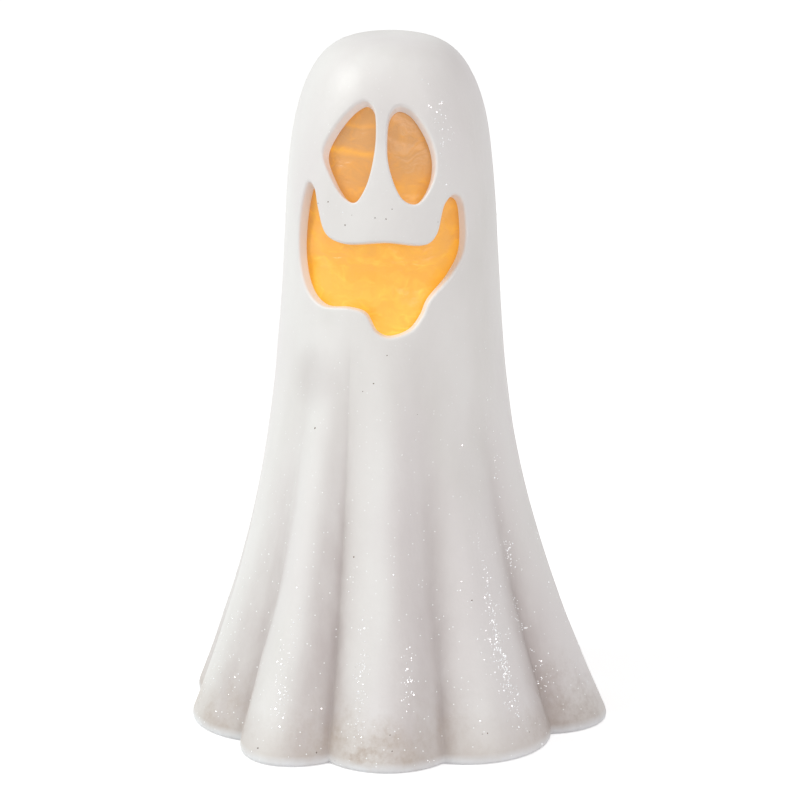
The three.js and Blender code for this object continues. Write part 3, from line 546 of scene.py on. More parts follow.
def start_material(name, colour, **fixed):
    """A material with a principled shader whose uniform values are set on its own sockets"""
    material = bpy.data.materials.new(name)
    material.use_nodes = True
    tree = material.node_tree
    shader = tree.nodes["Principled BSDF"]
    feed(tree, shader, {"Base Color": colour})
    feed(tree, shader, {key.replace("_", " "): value for key, value in fixed.items()})
    material.diffuse_color = linear(colour)
    return material, tree, shader


def object_place(tree):
    return add(tree, "ShaderNodeTexCoord").outputs["Object"]


def mottle(tree, shader, low, high, **pattern):
    """Colours a shader by noise between two stops, each a place and a colour. Returns noise and colour."""
    cloud = add(tree, "ShaderNodeTexNoise", {"Vector": object_place(tree), **pattern})
    tone = ramp(tree, cloud, [low, high])
    feed(tree, shader, {"Base Color": tone})
    return cloud, tone


def coat_material():
    # Moulded resin, sprayed off-white and dusted with glitter. It is satin and slightly mottled. Grey-mauve
    # painted shade darkens the valleys, brown dust lies low on the skirt, and a pale band of painted light
    # lies on the hem's rounded edge.
    material, tree, shader = start_material("sprayed_resin_coat", "#EDEBE8", Roughness=0.42, IOR=1.48)
    place = object_place(tree)
    height = add(tree, "ShaderNodeSeparateXYZ", {0: place}).outputs["Z"]
    # Mottling of the spray, about 22 mm across, and a pinker one of 38 mm, both drawn out down the folds
    stretched = add(tree, "ShaderNodeMapping", {"Vector": place, "Scale": (1, 1, 0.4)})
    cloud = add(tree, "ShaderNodeTexNoise", {
        "Vector": stretched, "Scale": 45.0, "Detail": 3.0, "Roughness": 0.5,
    })
    tone = ramp(tree, cloud, [(0.3, "#E8E6E3"), (0.5, "#EEECEA"), (0.72, "#F2F1EF")])
    blush = add(tree, "ShaderNodeTexNoise", {"Vector": stretched, "Scale": 26.0, "Detail": 2.0})
    pink = add(tree, "ShaderNodeMapRange", {
        "Value": blush, "From Min": 0.48, "From Max": 0.68, "To Min": 0.0, "To Max": 0.5,
    })
    tone = add(tree, "ShaderNodeMix", {0: pink, 6: tone, 7: "#E9E3E4"}, data_type="RGBA")
    # Painted shade over the eyes and under the mouth
    for spot, reach, strength in SHADES:
        spread = add(tree, "ShaderNodeVectorMath", {0: place, 1: spot}, operation="DISTANCE")
        shade = add(tree, "ShaderNodeMapRange", {
            "Value": spread, "From Min": reach * 0.2, "From Max": reach, "To Min": strength, "To Max": 0.0,
        }, interpolation_type="SMOOTHSTEP")
        tone = add(tree, "ShaderNodeMix", {0: shade, 6: tone, 7: "#CFC8C7"}, data_type="RGBA")
    # Painted shade in the valleys, grey-mauve, in blotches of 8 mm
    valley = add(tree, "ShaderNodeAttribute", attribute_name="valley").outputs["Fac"]
    blotch = add(tree, "ShaderNodeTexNoise", {
        "Vector": stretched, "Scale": 120.0, "Detail": 4.0, "Roughness": 0.65,
    })
    thin = add(tree, "ShaderNodeMapRange", {
        "Value": blotch, "From Min": 0.25, "From Max": 0.7, "To Min": 0.55, "To Max": 1.0,
    })
    painted_valley_shade = add(tree, "ShaderNodeMath", {0: valley, 1: thin}, operation="MULTIPLY", use_clamp=True)
    tone = add(tree, "ShaderNodeMix", {0: painted_valley_shade, 6: tone, 7: "#C9C0BE"}, data_type="RGBA")
    # Painted shade: a thin dark line of it in the crease itself
    crease = add(tree, "ShaderNodeAttribute", attribute_name="crease").outputs["Fac"]
    painted_crease_line = add(tree, "ShaderNodeMath", {0: crease, 1: thin}, operation="MULTIPLY", use_clamp=True)
    tone = add(tree, "ShaderNodeMix", {0: painted_crease_line, 6: tone, 7: "#B4ABA8"}, data_type="RGBA")
    # A pale veil on the lowest 16 mm, and brown dust in patches of 14 mm and specks of 2 mm, which
    # thins out up to 36 mm and lies thicker in the valleys
    low = add(tree, "ShaderNodeMapRange", {
        "Value": height, "From Min": 0.003, "From Max": 0.036, "To Min": 1.0, "To Max": 0.0,
    }, interpolation_type="SMOOTHSTEP")
    patch = add(tree, "ShaderNodeTexNoise", {
        "Vector": place, "Scale": 70.0, "Detail": 5.0, "Roughness": 0.72,
    })
    broken = add(tree, "ShaderNodeMapRange", {"Value": patch, "From Min": 0.4, "From Max": 0.66})
    speckle = add(tree, "ShaderNodeTexNoise", {
        "Vector": place, "Scale": 480.0, "Detail": 3.0, "Roughness": 0.7,
    })
    speckled = add(tree, "ShaderNodeMapRange", {
        "Value": speckle, "From Min": 0.38, "From Max": 0.62, "To Min": 0.55, "To Max": 1.25,
    })
    broken = add(tree, "ShaderNodeMath", {0: broken, 1: speckled}, operation="MULTIPLY")
    veil = add(tree, "ShaderNodeMapRange", {
        "Value": height, "From Min": 0.002, "From Max": 0.016, "To Min": 0.45, "To Max": 0.0,
    })
    tone = add(tree, "ShaderNodeMix", {0: veil, 6: tone, 7: "#C9BFB6"}, data_type="RGBA")
    more = add(tree, "ShaderNodeMath", {0: valley, 1: 0.3, 2: 0.12}, operation="MULTIPLY_ADD")
    dust = add(tree, "ShaderNodeMath", {0: low, 1: broken}, operation="MULTIPLY")
    dust = add(tree, "ShaderNodeMath", {0: dust, 1: more}, operation="MULTIPLY", use_clamp=True)
    tone = add(tree, "ShaderNodeMix", {0: dust, 6: tone, 7: "#B3A292"}, data_type="RGBA")
    # Stains on the hem, each at its place, as wide as it reaches, as strong and in its own brown
    for spot, reach, strength, brown in STAINS:
        spread = add(tree, "ShaderNodeVectorMath", {0: place, 1: spot}, operation="DISTANCE")
        stain = add(tree, "ShaderNodeMapRange", {
            "Value": spread, "From Min": reach * 0.15, "From Max": reach, "To Min": strength, "To Max": 0.0,
        })
        stain = add(tree, "ShaderNodeMath", {0: stain, 1: broken}, operation="MULTIPLY")
        tone = add(tree, "ShaderNodeMix", {0: stain, 6: tone, 7: brown}, data_type="RGBA")
    # Painted light: a pale bluish band on the hem's rounded edge, where light from the floor falls
    painted_hem_band = add(tree, "ShaderNodeMapRange", {
        "Value": height, "From Min": 0.0014, "From Max": 0.0038, "To Min": 1.0, "To Max": 0.0,
    })
    painted_hem_light = add(tree, "ShaderNodeMath", {0: painted_hem_band, 1: thin}, operation="MULTIPLY")
    tone = add(tree, "ShaderNodeMix", {0: painted_hem_light, 6: tone, 7: "#F3F5F8"}, data_type="RGBA")
    # Flakes that are too fine to model, painted as white points that stand for their glints: points up to
    # 0.5 mm across, about one to each 15 square mm, and fewer of them above the skirt
    cell = add(tree, "ShaderNodeTexVoronoi", {"Vector": place, "Scale": 900.0}, feature="F1")
    point = add(tree, "ShaderNodeMath", {0: cell.outputs["Distance"], 1: 0.22}, operation="LESS_THAN")
    chance = add(tree, "ShaderNodeSeparateColor", {0: cell.outputs["Color"]})
    picked = add(tree, "ShaderNodeMath", {0: chance, 1: 0.92}, operation="GREATER_THAN")
    sparkle = add(tree, "ShaderNodeMath", {0: point, 1: picked}, operation="MULTIPLY")
    fewer = add(tree, "ShaderNodeMapRange", {
        "Value": height, "From Min": 0.06, "From Max": 0.15, "To Min": 1.0, "To Max": 0.25,
    })
    sparkle = add(tree, "ShaderNodeMath", {0: sparkle, 1: fewer}, operation="MULTIPLY")
    tone = add(tree, "ShaderNodeMix", {0: sparkle, 6: tone, 7: (1, 1, 1, 1)}, data_type="RGBA")
    # The cut edges of the face are bare resin, a little pinker, and made paler with painted light from the
    # lit film behind them
    cut = add(tree, "ShaderNodeAttribute", attribute_name="cut").outputs["Fac"]
    tone = add(tree, "ShaderNodeMix", {0: cut, 6: tone, 7: "#F3EDEB"}, data_type="RGBA")
    # Grain under 1 mm, and dents about 4 mm across
    grain = add(tree, "ShaderNodeTexNoise", {"Vector": place, "Scale": 1100.0, "Detail": 2.0})
    bump = add(tree, "ShaderNodeBump", {"Height": grain, "Strength": 0.2, "Distance": 0.0001})
    dent = add(tree, "ShaderNodeTexNoise", {"Vector": place, "Scale": 240.0, "Detail": 2.0})
    bump = add(tree, "ShaderNodeBump", {"Height": dent, "Strength": 0.4, "Distance": 0.0004, "Normal": bump})
    feed(tree, shader, {"Base Color": tone, "Normal": bump})
    return material


def film_material():
    # Crumpled amber film of clear plastic, lit from behind. The lamp's light through it is painted as the
    # film's
    # own glow: yellow where the lamp is nearest, behind the lower left of the mouth, and a dull orange
    # towards its edges and up in the eyes.
    material, tree, shader = start_material("crumpled_amber_film", "#BC7F3A", Roughness=0.3, IOR=1.5)
    shader.inputs["Emission Strength"].default_value = values("ghost_film").glow
    place = object_place(tree)
    parts = add(tree, "ShaderNodeSeparateXYZ", {0: place})
    squeezed = add(tree, "ShaderNodeMapping", {"Vector": place, "Scale": (0.6, 1, 1)})
    lamp_side, mouth_tip = (-0.0122, -0.031, 0.1455), (0.0, -0.036, 0.138)
    nearest = add(tree, "ShaderNodeVectorMath", {0: squeezed, 1: lamp_side}, operation="DISTANCE")
    tip = add(tree, "ShaderNodeVectorMath", {0: squeezed, 1: mouth_tip}, operation="DISTANCE")
    tip = add(tree, "ShaderNodeMath", {0: tip, 1: 0.001}, operation="ADD")
    reach = add(tree, "ShaderNodeMath", {0: nearest, 1: tip}, operation="MINIMUM")
    fall = add(tree, "ShaderNodeMapRange", {"Value": reach, "From Min": -0.003, "From Max": 0.059})
    side = add(tree, "ShaderNodeMapRange", {
        "Value": parts.outputs["X"], "From Min": -0.025, "From Max": -0.032, "To Min": 0.0, "To Max": 0.4,
    })
    fall = add(tree, "ShaderNodeMath", {0: fall, 1: side}, operation="ADD")
    # Facets of the crumpled sheet, 14 mm wide and 7 mm high, bent by noise, with short bright creases
    warp = add(tree, "ShaderNodeTexNoise", {"Vector": place, "Scale": 90.0, "Detail": 2.0})
    shifted = add(tree, "ShaderNodeVectorMath", {0: warp.outputs["Color"], 3: 0.012}, operation="SCALE")
    moved = add(tree, "ShaderNodeVectorMath", {0: place, 1: shifted}, operation="ADD")
    flat = add(tree, "ShaderNodeMapping", {"Vector": moved, "Scale": (1, 1, 2.2)})
    facet = add(tree, "ShaderNodeTexVoronoi", {"Vector": flat, "Scale": 70.0}, feature="SMOOTH_F1")
    facet.inputs["Smoothness"].default_value = 0.8
    edge = add(tree, "ShaderNodeTexVoronoi", {"Vector": flat, "Scale": 70.0}, feature="DISTANCE_TO_EDGE")
    crease = add(tree, "ShaderNodeMapRange", {
        "Value": edge.outputs["Distance"], "From Min": 0.0, "From Max": 0.07, "To Min": 1.0, "To Max": 0.0,
    })
    gap = add(tree, "ShaderNodeTexNoise", {"Vector": place, "Scale": 240.0, "Detail": 1.0})
    shown = add(tree, "ShaderNodeMapRange", {"Value": gap, "From Min": 0.5, "From Max": 0.62})
    crease = add(tree, "ShaderNodeMath", {0: crease, 1: shown}, operation="MULTIPLY")
    tone = add(tree, "ShaderNodeSeparateColor", {0: facet.outputs["Color"]})
    strokes = add(tree, "ShaderNodeTexNoise", {
        "Vector": flat, "Scale": 150.0, "Detail": 3.0, "Roughness": 0.55,
    })
    bright = add(tree, "ShaderNodeMapRange", {"Value": strokes, "From Min": 0.45, "From Max": 0.7})
    lift = add(tree, "ShaderNodeMath", {0: tone, 1: 0.14}, operation="MULTIPLY")
    lift = add(tree, "ShaderNodeMath", {0: bright, 1: 0.16, 2: lift}, operation="MULTIPLY_ADD")
    lift = add(tree, "ShaderNodeMath", {0: crease, 1: 0.14, 2: lift}, operation="MULTIPLY_ADD")
    # Folds that run straight across behind the left eye: two bright ones with a dull band between
    wavy = add(tree, "ShaderNodeMath", {0: warp, 1: 0.003, 2: parts.outputs["Z"]}, operation="MULTIPLY_ADD")
    rise = add(tree, "ShaderNodeMapRange", {"Value": wavy, "From Min": 0.186, "From Max": 0.216})
    bands = ramp(tree, rise, [
        (0.0, grey(0.2)), (0.16, grey(0.1)), (0.34, grey(0.36)), (0.4, grey(1.0)), (0.45, grey(0.3)),
        (0.56, grey(0.05)), (0.62, grey(0.1)), (0.67, grey(0.85)), (0.71, grey(0.5)), (0.84, grey(0.6)),
        (1.0, grey(0.6)),
    ])
    left = add(tree, "ShaderNodeMapRange", {
        "Value": parts.outputs["X"], "From Min": -0.003, "From Max": -0.005, "To Min": 0.0, "To Max": 0.5,
    })
    lift = add(tree, "ShaderNodeMath", {0: bands, 1: left, 2: lift}, operation="MULTIPLY_ADD")
    lift = add(tree, "ShaderNodeMath", {0: left, 1: -0.36, 2: lift}, operation="MULTIPLY_ADD")
    turned = add(tree, "ShaderNodeMath", {0: fall, 1: lift}, operation="SUBTRACT")
    turned = add(tree, "ShaderNodeMath", {0: turned, 1: 0.1}, operation="ADD", use_clamp=True)
    colour = ramp(tree, turned, [
        (0.0, "#D3BE48"), (0.14, "#CDAA3C"), (0.4, "#C5922F"), (0.75, "#A67B44"), (1.0, "#8A7052"),
    ])
    height = add(tree, "ShaderNodeMath", {0: facet.outputs["Distance"], 1: strokes}, operation="ADD")
    bump = add(tree, "ShaderNodeBump", {"Height": height, "Strength": 0.6, "Distance": 0.0008})
    feed(tree, shader, {"Emission Color": colour, "Normal": bump})
    return material


def flake_material():
    # Craft glitter: cut aluminised polyester film. Each flake is a tiny flat mirror.
    material, tree, shader = start_material("aluminised_glitter", "#FFFFFF", Roughness=0.22, Metallic=1.0)
    mottle(tree, shader, (0.3, "#F1F4F6"), (0.7, "#FFFFFF"), Scale=700.0)
    return material


def dust_material():
    # Specks of brown dust under the coat
    material, tree, shader = start_material("trapped_dust", "#6E5E52", Roughness=0.8)
    mottle(tree, shader, (0.3, "#5B4A40"), (0.7, "#8C7B6E"), Scale=60.0)
    return material


def moulded_material(name, colour, darker, roughness=0.5, depth=0.00008):
    # Moulded plastic, such as ABS, nylon or PVC: even in colour, with slight flow marks 18 mm across and
    # a spark-eroded grain, drawn 0.7 mm wide so that it shows
    material, tree, shader = start_material(name, colour, Roughness=roughness, IOR=1.53)
    mottle(tree, shader, (0.32, darker), (0.6, colour), Scale=55.0, Detail=3.0)
    place = object_place(tree)
    grain = add(tree, "ShaderNodeTexNoise", {"Vector": place, "Scale": 1 / (0.7 * MM), "Detail": 2.0})
    bump = add(tree, "ShaderNodeBump", {"Height": grain, "Strength": 0.4, "Distance": depth})
    feed(tree, shader, {"Normal": bump})
    return material


def plated_material(name, colour, darker, roughness=0.3):
    # Plated metal: bright, with a slight cloudiness about 4 mm across that shows in its roughness too
    material, tree, shader = start_material(name, colour, Roughness=roughness, Metallic=1.0)
    cloud, _ = mottle(tree, shader, (0.3, darker), (0.65, colour), Scale=240.0, Detail=4.0)
    rough = add(tree, "ShaderNodeMapRange", {
        "Value": cloud, "To Min": roughness - 0.08, "To Max": roughness + 0.12,
    })
    feed(tree, shader, {"Roughness": rough})
    return material


def cell_material(index):
    # A dry cell: shrunk sleeve of printed film over a steel can, with bare nickel-plated ends. The sleeve
    # is green, with a gold band at the plus end, and the cells lie turned by turns.
    sleeve, gold, nickel = "#2F6B5C", "#C99B57", "#C9C7C0"
    material, tree, shader = start_material(f"dry_cell_sleeve_{index}", sleeve, Roughness=0.34, IOR=1.5)
    place = object_place(tree)
    along = add(tree, "ShaderNodeSeparateXYZ", {0: place}).outputs["X"]
    low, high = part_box(f"battery_{index}")
    middle, half_length = (low[0] + high[0]) / 2, 0.02525
    centred = add(tree, "ShaderNodeMath", {0: along, 1: middle}, operation="SUBTRACT")
    turned = 1.0 if index % 2 == 1 else -1.0
    facing = add(tree, "ShaderNodeMath", {0: centred, 1: turned}, operation="MULTIPLY")
    share = add(tree, "ShaderNodeMapRange", {
        "Value": facing, "From Min": -half_length, "From Max": half_length,
    })
    bands = ramp(tree, share, [
        (0.0, nickel), (0.012, sleeve), (0.76, sleeve), (0.765, gold), (0.965, gold), (0.97, nickel),
    ], "CONSTANT")
    metal = ramp(tree, share, [
        (0.0, grey(1)), (0.012, grey(0)), (0.96, grey(0)), (0.97, grey(1)),
    ], "CONSTANT")
    # Scuffs of the sleeve, 3 mm long
    scuff = add(tree, "ShaderNodeTexNoise", {"Vector": place, "Scale": 320.0, "Detail": 4.0})
    scuffed = ramp(tree, scuff, [(0.62, grey(0)), (0.8, grey(0.5))])
    worn = add(tree, "ShaderNodeMix", {0: scuffed, 6: bands, 7: "#9FB5AC"}, data_type="RGBA")
    feed(tree, shader, {"Base Color": worn, "Metallic": metal})
    return material


def lens_material():
    # Clear epoxy of a lamp that is lit: it glows warm white and stays glossy
    material, tree, shader = start_material("lit_epoxy_lens", "#FFF0C8", Roughness=0.08, IOR=1.5)
    _, tone = mottle(tree, shader, (0.3, "#FFE3A0"), (0.7, "#FFF1CC"), Scale=300.0)
    feed(tree, shader, {"Emission Color": tone, "Emission Strength": 3.0})
    return material


def laminate_material():
    # Paper laminate of a switch: brown resin with fibres about 1 mm long
    material, tree, shader = start_material("paper_laminate", "#8A6A3C", Roughness=0.62, IOR=1.55)
    mottle(tree, shader, (0.35, "#7A5A30"), (0.65, "#967645"), Scale=900.0, Detail=3.0, Distortion=1.5)
    return material


def give(material, *nodes):
    """Puts a finish on CAD nodes whose shape stays as it is"""
    for name in nodes:
        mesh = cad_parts[name].data
        mesh.materials.clear()
        mesh.materials.append(material)


# The shell

# Heights in mm where the rows of the surface change, and how many rows lie up to each
FACE_FROM, FACE_TO = 133, 215.8
HEM_ROWS, SKIRT_ROWS, FACE_ROWS, CROWN_ROWS = 7, 66, 84, 15
POLE_SHARE = 0.09  # radius of the hole at the crown, as a share of the body's, which is closed by one face
GATHER = 0.72  # how much closer together the columns lie in the valleys
INNER_ROUNDING = 0.02  # how round the valleys are inside


def sheet_heights():
    """Heights of the surface's rows in mm: the hem's rounding, the skirt, the face, and the crown"""
    body = values("ghost_body")
    height, start = body.height / MM, (body.height - body.dome_height) / MM
    hem = body.hem_round / MM * (1 - np.cos(np.linspace(0, math.pi / 2, HEM_ROWS)))
    skirt = np.linspace(hem[-1], FACE_FROM, SKIRT_ROWS)[1:]
    face = np.linspace(FACE_FROM, FACE_TO, FACE_ROWS)[1:]
    top_share = (FACE_TO - start) / (height - start)
    radius_there = (1 - top_share**body.dome_power) ** (1 / body.dome_power)
    shares = np.linspace(radius_there, POLE_SHARE, CROWN_ROWS)[1:]
    crown = start + (height - start) * (1 - shares**body.dome_power) ** (1 / body.dome_power)
    return np.concatenate([hem, skirt, face, crown])


def column_angles(z):
    """The angle of every column at each height, in radians, closer together in the valleys"""
    body = values("ghost_body")
    even = np.arange(body.columns) / body.columns
    shares = even - GATHER * np.sin(2 * math.pi * even) / (2 * math.pi)
    z = np.asarray(z)[:, None]
    strips = []
    for i in range(len(FOLDS)):
        low, high = valley_angle(i, z), valley_angle(i + 1, z)
        strips.append(low + (high - low) * shares)
    strips.append(valley_angle(len(FOLDS), z))
    return np.hstack(strips)


def unrolled_sheet(heights):
    """The body's surface as a flat sheet in mm, across and up, with its columns slid onto the folds"""
    body = values("ghost_body")
    columns = len(FOLDS) * body.columns
    bpy.ops.mesh.primitive_grid_add(x_subdivisions=columns, y_subdivisions=len(heights) - 1, size=1)
    sheet = bpy.context.object
    flat = coordinates(sheet.data)
    column = np.rint((flat[:, 0] + 0.5) * columns).astype(int)
    row = np.rint((flat[:, 1] + 0.5) * (len(heights) - 1)).astype(int)
    angles = column_angles(heights * MM)
    across = angles[row, column] * body.neck_radius / MM
    place_vertices(sheet.data, np.stack([across, heights[row], np.zeros(len(row))], axis=1))
    return sheet


def cut_face(sheet, outlines, margin):
    """Deletes the sheet's faces in and near the outlines, and joins a ring round each to what is left"""
    search, clear, half_face, inset = 5, 0.45, 45, 1  # all in mm
    flat = coordinates(sheet.data)[:, :2]
    near = np.zeros(len(flat), bool)
    for curve in outlines:
        low, high = curve.min(axis=0) - search, curve.max(axis=0) + search
        close = np.all((flat > low) & (flat < high), axis=1)
        near[close] |= curve_distance(flat[close], curve) < margin + clear
    bm = bmesh.new()
    bm.from_mesh(sheet.data)
    bm.verts.ensure_lookup_table()
    bmesh.ops.delete(bm, geom=[v for v in bm.verts if near[v.index]], context="VERTS")
    bmesh.ops.delete(bm, geom=[v for v in bm.verts if not v.link_faces], context="VERTS")
    bottom, top = flat[:, 1].min() + inset, flat[:, 1].max() - inset
    rims = [
        edge for edge in bm.edges
        if edge.is_boundary and all(abs(v.co.x) < half_face and bottom < v.co.y < top for v in edge.verts)
    ]
    for curve in outlines:
        ring = [bm.verts.new((x, y, 0)) for x, y in curve + margin * outward(curve)]
        rims += [bm.edges.new((a, b)) for a, b in zip(ring, ring[1:] + ring[:1])]
    # The strip between the sheet and the rings is closed with even triangles
    corners = list({v: None for edge in rims for v in edge.verts})
    number = {v: i for i, v in enumerate(corners)}
    pairs = [(number[edge.verts[0]], number[edge.verts[1]]) for edge in rims]
    spots = [v.co.to_2d() for v in corners]
    found = geometry.delaunay_2d_cdt(spots, pairs, [], 0, 1e-5)
    triangles = [[found[3][i][0] for i in triangle] for triangle in found[2]]
    middles = np.array([sum((spots[i] for i in t), Vector((0, 0))) / 3 for t in triangles])
    starts, ends = (np.array([spots[pair[side]] for pair in pairs]) for side in (0, 1))
    for triangle, wanted in zip(triangles, inside_edges(middles, starts, ends)):
        if wanted:
            bm.faces.new([corners[i] for i in triangle])
    bm.to_mesh(sheet.data)
    bm.free()


def uneven(points, normals, depth):
    """Moves points along their normals by slow waves, as a hand-finished surface has"""
    broad, fine = 34 * MM, 13 * MM
    moved = [0.65 * noise.noise(Vector(p) / broad) + 0.35 * noise.noise(Vector(p) / fine) for p in points]
    return points + normals * (np.array(moved) * depth)[:, None]


def surface_normals(angle, z):
    """Outward unit normals of the draped surface, from its slopes over a short way"""
    rise, turn, pole = 0.6 * MM, 0.01, 1e-6

    def at(angle, z):
        return around(surface_radius(angle, z), angle, z)

    sideways = at(angle + turn, z) - at(angle - turn, z)
    top = values("ghost_body").height - pole
    upwards = at(angle, np.minimum(z + rise, top)) - at(angle, np.maximum(z - rise, 0))
    normal = np.cross(sideways, upwards)
    return normal / np.maximum(np.linalg.norm(normal, axis=1), 1e-12)[:, None]


def outside_points(flat):
    """Flat points in mm as points of the outside, with the hem's rounding"""
    body = values("ghost_body")
    angle, z = flat[:, 0] * MM / body.neck_radius, flat[:, 1] * MM
    turn = np.arccos(np.clip(1 - z / body.hem_round, 0, 1))
    inset = np.where(z < body.hem_round, body.hem_tuck * (1 - np.sin(turn)), 0)
    points = around(surface_radius(angle, z) - inset, angle, z)
    return uneven(points, surface_normals(angle, z), body.unevenness)


def seat_radius(angle):
    """Radius of the straight wall inside the hem, where the base plate sits with its clearance"""
    body = values("ghost_body")
    radius = np.full(angle.shape, body_radius(body.rebate, body.wall))
    for (valley, swell, run_out), (after, *_) in zip(SEAT_FOLDS, SEAT_FOLDS[1:] + SEAT_FOLDS[:1]):
        width = math.radians((after - valley) % 360)
        past = np.mod(angle - math.radians(valley), 2 * math.pi)
        inside = past < width
        top = body.height - run_out * MM
        fade = ((top - body.rebate) / top) ** SEAT_FADE
        radius[inside] += swell * MM * fade * np.sin(math.pi * past[inside] / width) ** body.lobe_power
    return radius


def inside_points(flat):
    """Flat points in mm as points of the inner wall, which stands straight where the plate sits"""
    body = values("ghost_body")
    angle, z = flat[:, 0] * MM / body.neck_radius, flat[:, 1] * MM
    crown = (z - (body.height - body.dome_height)) / body.dome_height
    inner_z = np.where(crown > 0, z - np.clip(crown, 0, 1) * body.wall, z)
    radius = surface_radius(angle, np.maximum(inner_z, body.rebate), body.wall, rounding=INNER_ROUNDING)
    above = np.clip((inner_z - body.seat_top) / body.seat_blend, 0, 1)
    above = above * above * (3 - 2 * above)
    radius = seat_radius(angle) * (1 - above) + radius * above
    most = surface_radius(angle, z) - body.least_wall
    return around(np.where(crown > 0, radius, np.minimum(radius, most)), angle, inner_z)


class GHOST_OT_shell(bpy.types.Operator):
    """Makes the draped body, with its folds, hem and cut-out face"""

    bl_idname = "ghost.shell"
    bl_label = "Draped body"

    def execute(self, context):
        body = values("ghost_body")
        outlines = face_outlines()
        edge, inner = body.edge_round / MM, body.inner_round / MM
        sheet = unrolled_sheet(sheet_heights())
        cut_face(sheet, outlines, edge)
        flat = coordinates(sheet.data)[:, :2]
        faces = [tuple(p.vertices) for p in sheet.data.polygons]
        count = len(flat)
        ring_at = {self.key(point): i for i, point in enumerate(flat)}

        inner_flat = flat.copy()
        rings = []
        for curve in outlines:
            normals = outward(curve)
            ring = (curve + edge * normals).astype(np.float32)
            first = np.array([ring_at[self.key(point)] for point in ring])
            inner_flat[first] = curve + inner * normals
            rings.append((curve, normals, first))
        points = [outside_points(flat), inside_points(inner_flat)]
        faces += [tuple(i + count for i in reversed(face)) for face in faces]
        total = 2 * count
        cut = [np.zeros(2 * count)]

        # Each cut-out's edge: the outer rounding, the cut wall, and the inner rounding
        quarter = math.pi / 2
        wall = body.wall / MM
        steps = [(edge * (1 - math.sin(t)), edge * (1 - math.cos(t))) for t in np.linspace(0, quarter, 7)[1:]]
        steps += [(0, edge + (wall - edge - inner) * share) for share in (0.35, 0.7)]
        steps += [
            (inner * (1 - math.cos(t)), wall - inner * (1 - math.sin(t)))
            for t in np.linspace(0, quarter, 4)[:-1]
        ]
        for curve, normals, first in rings:
            last = first
            after = np.roll(np.arange(len(first)), -1)
            for offset, depth in steps:
                at = curve + offset * normals
                share = depth / wall
                points.append(outside_points(at) * (1 - share) + inside_points(at) * share)
                cut.append(np.full(len(at), min(1, depth / edge)))
                ring = total + np.arange(len(at))
                total += len(at)
                faces += [(last[i], last[j], ring[j], ring[i]) for i, j in enumerate(after)]
                last = ring
            faces += [(last[i], last[j], first[j] + count, first[i] + count) for i, j in enumerate(after)]

        # The flat ring under the hem
        foot = np.where(flat[:, 1] < 1e-4)[0]
        foot = foot[np.argsort(flat[foot, 0])]
        faces += [(a, a + count, b + count, b) for a, b in zip(foot, foot[1:])]

        points = np.vstack(points)
        if not np.all(np.isfinite(points)):
            raise RuntimeError("the draped body has points without a place")
        mesh = bpy.data.meshes.new("ghost_shell_mesh")
        mesh.from_pydata(points.tolist(), [], [list(map(int, f)) for f in faces])
        self.mark_valleys(mesh, np.vstack([flat, inner_flat]), total)
        set_attribute(mesh, "cut", np.concatenate(cut))
        bpy.data.objects.remove(sheet)
        shell = only(linked("body", mesh))
        bpy.ops.object.mode_set(mode="EDIT")
        bpy.ops.mesh.select_mode(type="VERT")
        bpy.ops.mesh.select_all(action="SELECT")
        bpy.ops.mesh.remove_doubles(threshold=2e-6)
        bpy.ops.mesh.select_all(action="DESELECT")
        bpy.ops.mesh.select_non_manifold()
        bpy.ops.mesh.fill_holes(sides=0)
        bpy.ops.mesh.select_all(action="SELECT")
        bpy.ops.mesh.normals_make_consistent(inside=False)
        bpy.ops.object.mode_set(mode="OBJECT")
        finished(shell, "body", "ghost", coat_material(), "ghost_shell", slot="shell", smooth=60)
        return {"FINISHED"}

    def key(self, point):
        """A flat point to a hundredth of a millimetre"""
        return round(float(point[0]), 2), round(float(point[1]), 2)

    def mark_valleys(self, mesh, flat, total):
        """Marks where the painted shade of the valleys lies, and the crisp creases' painted dark lines, on
        all points but the cut edges' own
        """
        angle, z = flat[:, 0] * MM / values("ghost_body").neck_radius, flat[:, 1] * MM
        fold, share = fold_share(angle, z)
        # A valley is as deep as the folds on both its sides stand out
        full_depth, run_width = 6.5 * MM, 0.26
        before, after = np.maximum(0, 0.5 - share), np.maximum(0, share - 0.5)
        last, following = fold_fade(fold - 1, z), fold_fade(fold + 1, z)
        depth = fold_fade(fold, z) * (1 - before - after)
        depth += last * before + following * after
        deep = np.clip(depth / full_depth, 0, 1)
        hollow = np.clip(1 - fold_lobe(share, valley_rounding(fold, share, z)), 0, 1)
        # The painted shade runs wider on the side of each fold that falls to its next valley
        run = np.clip((share - fold_value(FOLD_SHADE_START, fold)) / run_width, 0, 1)
        shade_in_valleys = np.maximum(np.minimum(1, 1.25 * hollow**1.3), 0.85 * run * run * (3 - 2 * run))
        # The crease's painted dark line fades with the softness of the nearer valley, and a soft one has none
        soft = fold_value(FOLD_SOFTNESS, np.where(share < 0.5, fold, fold + 1))
        crisp = np.clip(1.15 - 0.9 * soft * (0.4 + 0.6 * softening(z)), 0, 1) * (soft < 1)
        rest = np.zeros(total - len(flat))
        set_attribute(mesh, "valley", np.concatenate([deep * shade_in_valleys, rest]))
        set_attribute(mesh, "crease", np.concatenate([deep**1.3 * crisp * hollow**7, rest]))


